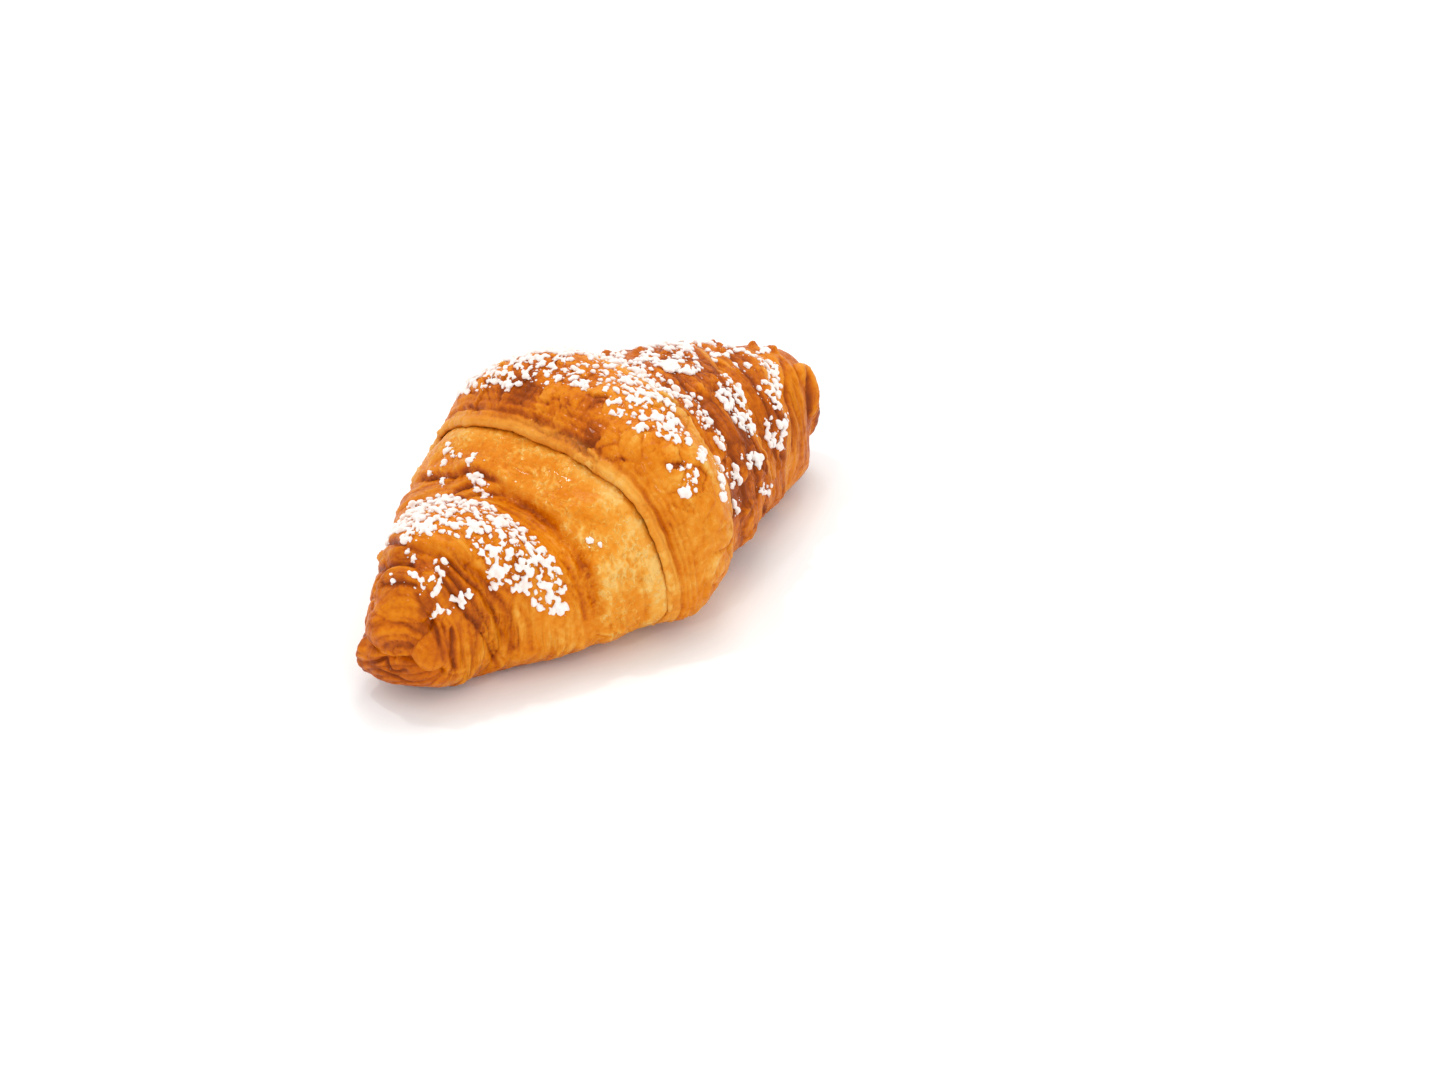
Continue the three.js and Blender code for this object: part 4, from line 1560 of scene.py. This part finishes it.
    def clump_places(self) -> tuple:
        """Draws the balls that run together into clumps: a large one and smaller ones round it.

        Returns:
            The places along and around, and the radii.
        """
        parts = []
        for patch in self.patches:
            along, around = self.scatter(patch, self.tries_per_area, self.clump_spread)
            skin = self.crust.skin_points(along, around)
            strength = self.crust.noise.read(skin, *self.clump_ripples)
            chosen = strength > self.cover_gain * (self.half_cover - patch.cover)
            along, around, skin, strength = along[chosen], around[chosen], skin[chosen], strength[chosen]
            chosen = self.apart(skin, self.clump_spacing)
            along, around, strength = along[chosen], around[chosen], strength[chosen]
            size = self.draw.uniform(*self.clump_radius, len(along)) * (0.85 + 0.3 * np.clip(strength, 0, 1))
            parts.append(np.stack([along, around, size]))
            for _ in range(self.lumps):
                shown = self.draw.random(len(along)) < self.lump_share
                turn = self.draw.uniform(0, 2 * math.pi, len(along))
                out = size * self.draw.uniform(*self.lump_places, len(along))
                side = around + out * np.sin(turn) / self.crust.loaf.girth(along)
                small = size * self.draw.uniform(*self.lump_sizes, len(along))
                parts.append(np.stack([along + out * np.cos(turn), side, small])[:, shown])
        return tuple(np.concatenate(parts, axis=1))

    @staticmethod
    def ball(detail: int) -> tuple:
        """Makes a ball of radius 1.

        Args:
            detail: how finely it is divided.

        Returns:
            Its points and its faces.
        """
        sphere = bmesh.new()
        bmesh.ops.create_icosphere(sphere, subdivisions=detail, radius=1.0)
        points = np.array([vertex.co[:] for vertex in sphere.verts])
        faces = np.array([[vertex.index for vertex in face.verts] for face in sphere.faces])
        sphere.free()
        return points, faces

    def balls(self, seat: Array, normal: Array, radius: Array, flat: float, detail: int) -> tuple:
        """Places a flattened ball at each seat.

        Args:
            seat: where each ball lies.
            normal: the outward direction there.
            radius: the balls' radii.
            flat: height of a ball as a share of its width.
            detail: how finely a ball is divided.

        Returns:
            The points and the faces of all balls.
        """
        unit, faces = self.ball(detail)
        askew = (1.0, 0.1, 0.0)  # no sugar faces this way
        side = np.cross(normal, askew)
        side /= np.linalg.norm(side, axis=1, keepdims=True)
        ahead = np.cross(side, normal)
        long, wide = (self.draw.uniform(*sizes, len(radius))[:, None, None]
                      for sizes in (self.lengths, self.widths))
        shape = (unit[None, :, :1] * side[:, None] * long + unit[None, :, 1:2] * ahead[:, None] * wide
                 + unit[None, :, 2:] * normal[:, None] * flat)
        points = seat[:, None] + shape * radius[:, None, None]
        numbers = faces[None] + len(unit) * np.arange(len(radius))[:, None, None]
        return points.reshape(-1, 3), numbers.reshape(-1, 3)

    def build_clumps(self) -> list:
        """Builds the clumps as one mesh for each part of the pastry, whose balls have run together.

        Returns:
            The new objects.
        """
        along, around, radius = self.clump_places()
        seat, normal = self.seats(along, around)
        seat = seat + normal * self.clump_seat * radius[:, None]
        made = []
        for name, low, high in self.parts:
            chosen = (along >= low) & (along < high)
            balls = self.balls(seat[chosen], normal[chosen], radius[chosen], self.clump_height, detail=2)
            made.append(self.run_together(name, *balls))
        return made

    def run_together(self, name: str, points: Array, faces: Array) -> bpy.types.Object:
        """Joins balls into one crumbled mesh.

        Args:
            name: the new object's name.
            points: the balls' points.
            faces: the balls' faces.

        Returns:
            The new object.
        """
        rough = make_object("balls", points, faces.tolist(), {})
        remesh = rough.modifiers.new("run_together", "REMESH")
        remesh.mode = "VOXEL"
        remesh.voxel_size = self.clump_voxel * MM
        soften = rough.modifiers.new("soften", "SMOOTH")
        soften.factor = 0.5
        soften.iterations = 1
        depsgraph = bpy.context.evaluated_depsgraph_get()
        joined = bpy.data.meshes.new_from_object(rough.evaluated_get(depsgraph))
        old = rough.data
        bpy.data.objects.remove(rough)
        bpy.data.meshes.remove(old)
        self.roughen(joined)
        joined.name = name
        clumps = bpy.data.objects.new(name, joined)
        bpy.context.collection.objects.link(clumps)
        return clumps

    def roughen(self, mesh: bpy.types.Mesh) -> None:
        """Gives the clumps their powdery, crumbled surface.

        Args:
            mesh: the joined clumps.
        """
        count = len(mesh.vertices)
        points = np.empty(count * 3)
        normals = np.empty(count * 3)
        mesh.vertices.foreach_get("co", points)
        mesh.vertex_normals.foreach_get("vector", normals)
        points = points.reshape(-1, 3) / MM
        points += normals.reshape(-1, 3) * self.crust.noise.read(points, *self.crumbs)[:, None]
        mesh.vertices.foreach_set("co", (points * MM).ravel())
        mesh.update()
        mesh.shade_smooth()

    def build_grains(self) -> bpy.types.Object:
        """Builds the loose grains round the clumps.

        Returns:
            The new object.
        """
        places = [self.scatter(patch, self.grains_per_area, self.grain_spread) for patch in self.patches]
        along, around = np.concatenate(places, axis=1)
        radius = 0.1 + 0.26 * self.draw.random(len(along)) ** 2
        seat, normal = self.seats(along, around)
        points, faces = self.balls(seat, normal, radius, self.grain_height, detail=1)
        return make_object("sugar_grains", points, faces.tolist(), {})


# -------------------- finishes


def new_group(name: str, inputs: dict, outputs: tuple) -> bpy.types.NodeTree:
    """Starts a node group whose sockets all hold numbers.

    Args:
        name: the group's name.
        inputs: what each input holds when nothing is linked, by name.
        outputs: the outputs' names.

    Returns:
        The group.
    """
    group = bpy.data.node_groups.new(name, "ShaderNodeTree")
    for label, value in inputs.items():
        made = group.interface.new_socket(name=label, in_out="INPUT", socket_type="NodeSocketFloat")
        made.default_value = value
    for label in outputs:
        group.interface.new_socket(name=label, in_out="OUTPUT", socket_type="NodeSocketFloat")
    return group


class NodeSheet:
    """A short way to add and link shader nodes."""

    MIX_SHARE, MIX_FIRST, MIX_SECOND, MIX_RESULT = 0, 6, 7, 2  # as a colour mix's names repeat

    def __init__(self, tree: bpy.types.NodeTree) -> None:
        """Takes the tree that grows.

        Args:
            tree: a material's tree or a node group.
        """
        self.tree = tree

    def add(self, kind: str, settings: dict | None = None, **inputs: object) -> bpy.types.Node:
        """Adds a node.

        Args:
            kind: the node's type.
            settings: its properties.
            inputs: what its inputs hold or are linked to, by name with underscores for spaces.

        Returns:
            The new node.
        """
        node = self.tree.nodes.new(kind)
        for name, value in (settings or {}).items():
            setattr(node, name, value)
        for name, value in inputs.items():
            self.feed(node.inputs[name.replace("_", " ")], value)
        return node

    def feed(self, target: bpy.types.NodeSocket, value: object) -> None:
        """Sets an input to a value, or links it to an output.

        Args:
            target: the input.
            value: the value or output.
        """
        if isinstance(value, bpy.types.NodeSocket):
            self.tree.links.new(value, target)
        else:
            target.default_value = value

    def math(self, operation: str, *values: object) -> bpy.types.NodeSocket:
        """Adds a calculation.

        Args:
            operation: what is done, by Blender's name.
            values: the values or outputs that it takes.

        Returns:
            The result's output.
        """
        node = self.add("ShaderNodeMath", {"operation": operation})
        for socket, value in zip(node.inputs, values):
            self.feed(socket, value)
        return node.outputs[0]

    def sum_of(self, first: object, *parts: tuple) -> bpy.types.NodeSocket:
        """Adds weighted parts to a first value.

        Args:
            first: the first value or output.
            parts: pairs of an output and its weight.

        Returns:
            The sum's output.
        """
        for part, weight in parts:
            first = self.math("MULTIPLY_ADD", part, weight, first)
        return first

    def span(self, value: object, low: float, high: float, start: float = 0.0, stop: float = 1.0) -> object:
        """Maps a value from one range to another, and holds it inside.

        Args:
            value: the value or output.
            low: where the first range starts.
            high: where it ends.
            start: what low becomes.
            stop: what high becomes.

        Returns:
            The result's output.
        """
        node = self.tree.nodes.new("ShaderNodeMapRange")
        node.interpolation_type = "SMOOTHSTEP"
        self.feed(node.inputs["Value"], value)
        for name, number in (("From Min", low), ("From Max", high), ("To Min", start), ("To Max", stop)):
            node.inputs[name].default_value = number
        return node.outputs["Result"]

    def mix(self, share: object, first: object, second: object, way: str = "MIX") -> bpy.types.NodeSocket:
        """Mixes two colours.

        Args:
            share: how much of the second shows.
            first: the first colour or output.
            second: the second colour or output.
            way: how they blend, by Blender's name.

        Returns:
            The mixed colour's output.
        """
        node = self.add("ShaderNodeMix", {"data_type": "RGBA", "blend_type": way})
        for number, value in ((self.MIX_SHARE, share), (self.MIX_FIRST, first), (self.MIX_SECOND, second)):
            self.feed(node.inputs[number], value)
        return node.outputs[self.MIX_RESULT]


def seen_as(red: int, green: int, blue: int, strength: float = 1.0, sheen: float = 0.0) -> tuple:
    """Turns a colour as it is seen, 0 to 255, into the linear base colour that a shader takes.

    Args:
        red: its red.
        green: its green.
        blue: its blue.
        strength: how much of the seen light the base colour gives back, for a bright studio.
        sheen: how much of the seen light is the surface's own gloss.

    Returns:
        The base colour.
    """
    shares = np.array([red, green, blue]) / 255
    # the curve of the sRGB standard
    linear = np.where(shares <= 0.04045, shares / 12.92, ((shares + 0.055) / 1.055) ** 2.4)
    return (*np.clip(strength * (linear - sheen), 0.0005, 1).tolist(), 1.0)


def mottle_group() -> bpy.types.NodeTree:
    """Builds the group that mottles a surface at two sizes.

    Returns:
        The group, with outputs Broad and Fine from -1 to 1.
    """
    group = new_group("baked mottle", {"Size": 6.0, "Detail": 4.0}, ("Broad", "Fine"))
    sheet = NodeSheet(group)
    given = sheet.add("NodeGroupInput")
    result = sheet.add("NodeGroupOutput")
    place = sheet.add("ShaderNodeTexCoord").outputs["Object"]
    for name, share in (("Broad", 1.0), ("Fine", 0.22)):
        scale = sheet.math("DIVIDE", 1 / MM, sheet.math("MULTIPLY", given.outputs["Size"], share))
        noise = sheet.add("ShaderNodeTexNoise", Vector=place, Scale=scale, Detail=given.outputs["Detail"])
        sheet.feed(result.inputs[name], sheet.sum_of(-2.0, (noise.outputs["Fac"], 4.0)))
    return group


def relief_group() -> bpy.types.NodeTree:
    """Builds the group for fine relief: strands along the wraps, curled ridges, cracked plates and grain.

    Returns:
        The group, with outputs Strands from -1 to 1, Curls and Cracks from 0 to 1, and Height.
    """
    sizes = {"Strand Size": 0.8, "Curl Size": 1.6, "Plate Size": 4.2, "Grain Size": 0.35}
    heights = {"Strands": 0.5, "Curls": 1.0, "Plates": 0.0, "Grain": 0.3}
    group = new_group("fine relief", sizes | heights, ("Strands", "Curls", "Cracks", "Height"))
    strand_stretch = 0.16  # across its length as a share of along it
    bends_per_mm, bend_reach = 0.4, 3.0  # how the plates' cracks are bent
    sheet = NodeSheet(group)
    given = sheet.add("NodeGroupInput").outputs
    result = sheet.add("NodeGroupOutput").inputs
    place = sheet.add("ShaderNodeTexCoord").outputs["Object"]
    skin = sheet.add("ShaderNodeAttribute", {"attribute_name": "skin"}).outputs["Vector"]
    flat = sheet.add("ShaderNodeVectorMath", {"operation": "MULTIPLY"})
    sheet.feed(flat.inputs[0], skin)
    flat.inputs[1].default_value = (1.0, strand_stretch, 1.0)
    strand_scale = sheet.math("DIVIDE", 1.0, given["Strand Size"])
    strand = sheet.add("ShaderNodeTexNoise", Vector=flat.outputs[0], Scale=strand_scale, Detail=4.0,
                       Distortion=0.5)
    strands = sheet.span(strand.outputs["Fac"], 0.36, 0.64, -1.0, 1.0)
    curl_scale = sheet.math("DIVIDE", 1 / MM, given["Curl Size"])
    curl = sheet.add("ShaderNodeTexNoise", Vector=place, Scale=curl_scale, Detail=0.5, Distortion=0.9)
    band = sheet.span(sheet.math("ABSOLUTE", sheet.math("SUBTRACT", curl.outputs["Fac"], 0.5)), 0.1, 0.0)
    gap_scale = sheet.math("MULTIPLY", curl_scale, 0.9)
    gap = sheet.add("ShaderNodeTexNoise", Vector=place, Scale=gap_scale, Detail=2.0)
    curls = sheet.math("MULTIPLY", band, sheet.span(gap.outputs["Fac"], 0.44, 0.56))
    bend = sheet.add("ShaderNodeTexNoise", Vector=place, Scale=bends_per_mm / MM, Detail=3.0)
    bent = sheet.add("ShaderNodeVectorMath", {"operation": "MULTIPLY_ADD"})
    sheet.feed(bent.inputs[0], bend.outputs["Color"])
    bent.inputs[1].default_value = (bend_reach * MM,) * 3
    sheet.feed(bent.inputs[2], place)
    plate_scale = sheet.math("DIVIDE", 1 / MM, given["Plate Size"])
    plate = sheet.add("ShaderNodeTexVoronoi", {"feature": "DISTANCE_TO_EDGE"}, Vector=bent.outputs[0],
                      Scale=plate_scale)
    cracks = sheet.span(plate.outputs["Distance"], 0.09, 0.0)
    grain_scale = sheet.math("DIVIDE", 1 / MM, given["Grain Size"])
    grain = sheet.add("ShaderNodeTexNoise", Vector=place, Scale=grain_scale, Detail=3.0)
    height = sheet.math("MULTIPLY", grain.outputs["Fac"], given["Grain"])
    sunk = sheet.math("MULTIPLY", cracks, given["Plates"])
    height = sheet.sum_of(height, (curls, given["Curls"]), (strands, given["Strands"]), (sunk, -1.0))
    for name, value in (("Strands", strands), ("Curls", curls), ("Cracks", cracks), ("Height", height)):
        sheet.feed(result[name], value)
    return group


@dataclass(frozen=True)
class CrustFinish:
    """The egg-washed crust: its colours from pale to dark as they are seen, and its gloss."""

    ramp: tuple = (
        (0.0, (252, 200, 112)),
        (0.16, (248, 176, 74)),
        (0.32, (241, 152, 46)),
        (0.5, (231, 132, 26)),
        (0.66, (210, 108, 14)),
        (0.82, (178, 84, 5)),
        (1.0, (146, 67, 2)),
    )
    rim: tuple = (246, 176, 80)
    rim_share: float = 0.45  # how much of the rim's own colour shows there
    # painted shade: this tint is multiplied into the colour over creases, folds and the gaps under rolled
    # edges
    crease: tuple = (0.84, 0.7, 0.4, 1.0)
    browning_and_shading: tuple = (  # how much darker each effect makes the crust: pale rims, mottles and cracks of its own, painted shade in grooves, and painted highlight and shade on strands and curls
        ("groove", 0.1), ("rim", -0.16), ("broad", 0.07), ("fine", 0.1), ("strands", -0.13),
        ("curls", -0.2), ("cracks", 0.05),
    )
    strength: float = 0.85
    sheen: float = 0.008
    roughness: float = 0.34

    def material(self, mottle: bpy.types.NodeTree, relief_tree: bpy.types.NodeTree) -> bpy.types.Material:
        """Builds the crust's material.

        Args:
            mottle: the group that mottles the bake.
            relief_tree: the group for fine relief.

        Returns:
            The material.
        """
        material = bpy.data.materials.new("baked_crust")
        material.use_nodes = True
        sheet = NodeSheet(material.node_tree)
        shader = material.node_tree.nodes["Principled BSDF"]
        masks = {name: sheet.add("ShaderNodeAttribute", {"attribute_name": name}).outputs["Fac"]
                 for name in MASKS}
        blotch = sheet.add("ShaderNodeGroup", {"node_tree": mottle}, Size=6.0, Detail=6.0)
        strands = sheet.math("MULTIPLY", masks["strand"], 1.1)
        relief = sheet.add("ShaderNodeGroup", {"node_tree": relief_tree}, Strand_Size=1.3, Strands=strands,
                           Curl_Size=1.4, Curls=sheet.math("MULTIPLY", masks["curl"], 0.45), Plate_Size=4.2,
                           Plates=sheet.math("MULTIPLY", masks["plate"], 0.25), Grain_Size=0.5, Grain=0.7)
        effects = {
            "groove": masks["groove"],
            "rim": masks["rim"],
            "broad": blotch.outputs["Broad"],
            "fine": blotch.outputs["Fine"],
            "strands": sheet.math("MULTIPLY", masks["strand"], relief.outputs["Strands"]),
            "curls": sheet.math("MULTIPLY", masks["curl"], relief.outputs["Curls"]),
            "cracks": sheet.math("MULTIPLY", masks["plate"], relief.outputs["Cracks"]),
        }
        level = sheet.sum_of(masks["bake"], *((effects[name], weight) for name, weight in self.browning_and_shading))
        ramp = sheet.add("ShaderNodeValToRGB", Fac=level)
        elements = ramp.color_ramp.elements
        for element, (position, shade) in zip(elements, (self.ramp[0], self.ramp[-1])):
            element.position, element.color = position, seen_as(*shade, self.strength, self.sheen)
        for position, shade in self.ramp[1:-1]:
            elements.new(position).color = seen_as(*shade, self.strength, self.sheen)
        pale = seen_as(*self.rim, self.strength, self.sheen)
        rim = sheet.mix(sheet.math("MULTIPLY", masks["rim"], self.rim_share), ramp.outputs["Color"], pale)
        # painted shade: the tint darkens creases, folds and gaps under rolled edges
        colour = sheet.mix(masks["groove"], rim, sheet.mix(1.0, rim, self.crease, "MULTIPLY"))
        sheet.feed(shader.inputs["Base Color"], colour)
        rough = sheet.span(blotch.outputs["Fine"], -1, 1, self.roughness - 0.1, self.roughness + 0.16)
        sheet.feed(shader.inputs["Roughness"], rough)
        bump = sheet.add("ShaderNodeBump", Strength=0.8, Distance=0.3 * MM, Height=relief.outputs["Height"])
        sheet.feed(shader.inputs["Normal"], bump.outputs["Normal"])
        shader.inputs["Subsurface Weight"].default_value = 0.06
        shader.inputs["Subsurface Radius"].default_value = (1.0, 0.45, 0.15)
        shader.inputs["Subsurface Scale"].default_value = 1.2 * MM
        shader.inputs["Specular IOR Level"].default_value = 0.05
        shader.inputs["Coat Weight"].default_value = 0.13
        shader.inputs["Coat Roughness"].default_value = 0.08
        return material


@dataclass(frozen=True)
class SugarFinish:
    """Matt white icing sugar that light gets a little way into."""

    white: tuple = (255, 249, 246)
    shade: tuple = (250, 237, 229)
    strength: float = 0.925

    def material(self, mottle: bpy.types.NodeTree, relief_tree: bpy.types.NodeTree) -> bpy.types.Material:
        """Builds the sugar's material.

        Args:
            mottle: the group that mottles the white.
            relief_tree: the group for fine relief.

        Returns:
            The material.
        """
        material = bpy.data.materials.new("icing_sugar")
        material.use_nodes = True
        sheet = NodeSheet(material.node_tree)
        shader = material.node_tree.nodes["Principled BSDF"]
        blotch = sheet.add("ShaderNodeGroup", {"node_tree": mottle}, Size=1.5, Detail=3.0)
        share = sheet.span(blotch.outputs["Broad"], -0.8, 0.8)
        white, shade = (seen_as(*colour, self.strength) for colour in (self.white, self.shade))
        sheet.feed(shader.inputs["Base Color"], sheet.mix(share, white, shade))
        relief = sheet.add("ShaderNodeGroup", {"node_tree": relief_tree}, Strands=0.0, Curls=0.0,
                           Grain_Size=0.22, Grain=1.0)
        bump = sheet.add("ShaderNodeBump", Strength=0.5, Distance=0.12 * MM, Height=relief.outputs["Height"])
        sheet.feed(shader.inputs["Normal"], bump.outputs["Normal"])
        shader.inputs["Roughness"].default_value = 0.9
        shader.inputs["Specular IOR Level"].default_value = 0.2
        shader.inputs["Subsurface Weight"].default_value = 0.35
        shader.inputs["Subsurface Radius"].default_value = (1.0, 0.85, 0.75)
        shader.inputs["Subsurface Scale"].default_value = 0.5 * MM
        return material


# -------------------- the studio


class Softness(Enum):
    """How large a light's face is, in metres."""

    BROAD = 0.9
    MEDIUM = 0.4
    SMALL = 0.045


@dataclass(frozen=True)
class StudioLight:
    """One soft light."""

    name: str
    place: tuple
    power: float
    softness: Softness
    tint: tuple = (1.0, 1.0, 1.0)


@dataclass
class Studio:
    """A pale floor, soft light and the photograph's camera."""

    heading: float = 50.05
    elevation: float = 32.44
    distance: float = 750.0
    target: tuple = (25.65, -17.91, 0.0)
    focal_pixels: float = 3275.0
    photo_width: float = 1448.0
    sensor: float = 36.0
    lights: tuple = (
        StudioLight("top_light", (0.3, 0.15, 0.85), 1.95, Softness.MEDIUM, (1.0, 0.99, 0.97)),
        StudioLight("front_light", (-0.15, -0.95, 0.35), 1.3, Softness.BROAD, (1.0, 0.98, 0.96)),
        StudioLight("glint_light", (-0.1, 0.35, 0.85), 0.9, Softness.SMALL),
        StudioLight("low_glint_light", (-0.75, -0.2, 0.55), 0.6, Softness.SMALL),
    )
    surroundings: float = 0.95

    def build_floor(self) -> None:
        """Lays the pale floor."""
        mesh = bpy.data.meshes.new("floor")
        half = 4.0
        corners = [(-half, -half, 0), (half, -half, 0), (half, half, 0), (-half, half, 0)]
        mesh.from_pydata(corners, [], [(0, 1, 2, 3)])
        floor = bpy.data.objects.new("floor", mesh)
        bpy.context.collection.objects.link(floor)
        material = bpy.data.materials.new("pale_floor")
        material.use_nodes = True
        shader = material.node_tree.nodes["Principled BSDF"]
        shader.inputs["Base Color"].default_value = (0.95, 0.98, 0.985, 1)
        shader.inputs["Roughness"].default_value = 0.7
        shader.inputs["Specular IOR Level"].default_value = 0.1
        mesh.materials.append(material)

    def build_lights(self) -> None:
        """Hangs the lights and sets the white surroundings."""
        for light in self.lights:
            lamp = bpy.data.lights.new(light.name, "AREA")
            lamp.energy = light.power
            lamp.size = light.softness.value
            lamp.color = light.tint
            holder = bpy.data.objects.new(light.name, lamp)
            holder.location = light.place
            holder.rotation_euler = (-Vector(light.place)).to_track_quat("-Z", "Y").to_euler()
            bpy.context.collection.objects.link(holder)
        world = bpy.data.worlds.new("white_room")
        world.use_nodes = True
        background = world.node_tree.nodes["Background"]
        background.inputs["Color"].default_value = (1.0, 0.995, 0.99, 1)
        background.inputs["Strength"].default_value = self.surroundings
        bpy.context.scene.world = world
        bpy.context.scene.view_settings.view_transform = "Standard"

    def build_camera(self) -> None:
        """Sets the camera at the photograph's angle."""
        heading, elevation = math.radians(self.heading), math.radians(self.elevation)
        back = Vector((-math.sin(heading) * math.cos(elevation), -math.cos(heading) * math.cos(elevation),
                       math.sin(elevation)))
        target = Vector((np.array(self.target) + FRAME_SHIFT) * MM)
        lens = bpy.data.cameras.new("camera")
        lens.sensor_width = self.sensor
        lens.lens = self.focal_pixels / self.photo_width * self.sensor
        lens.clip_start = 0.01
        camera = bpy.data.objects.new("camera", lens)
        camera.location = target + back * self.distance * MM
        camera.rotation_euler = back.to_track_quat("Z", "Y").to_euler()
        bpy.context.collection.objects.link(camera)
        bpy.context.scene.camera = camera


# -------------------- the whole pastry


@dataclass
class Cornetto:
    """The whole pastry: its wraps, its tips and its sugar."""

    crust: Crust = field(default_factory=lambda: Crust(Loaf()))
    crust_finish: CrustFinish = CrustFinish()
    sugar_finish: SugarFinish = SugarFinish()

    def build(self) -> list:
        """Builds and dresses every piece.

        Returns:
            The pieces.
        """
        mottle, relief = mottle_group(), relief_group()
        crust_material = self.crust_finish.material(mottle, relief)
        sugar_material = self.sugar_finish.material(mottle, relief)
        builder = WrapBuilder(self.crust)
        dough = [builder.build(shell) for shell in range(len(Crust.SHELLS))]
        sugar = IcingSugar(self.crust)
        white = [*sugar.build_clumps(), sugar.build_grains()]
        for pieces, material, slot in ((dough, crust_material, "crust"), (white, sugar_material, "sugar")):
            for piece in pieces:
                piece.data.materials.append(material)
                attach(piece, "root")
                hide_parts("cornetto")
        return dough + white


def main() -> None:
    """Builds the studio and the cornetto, and reports each piece."""
    logging.basicConfig(level=logging.INFO, format="%(message)s")
    studio = Studio()
    studio.build_camera()
    studio.build_floor()
    studio.build_lights()
    for piece in Cornetto().build():
        triangles = sum(len(face.vertices) - 2 for face in piece.data.polygons)
        logging.info("%s: %d triangles", piece.name, triangles)


if __name__ == "__main__":
    main()
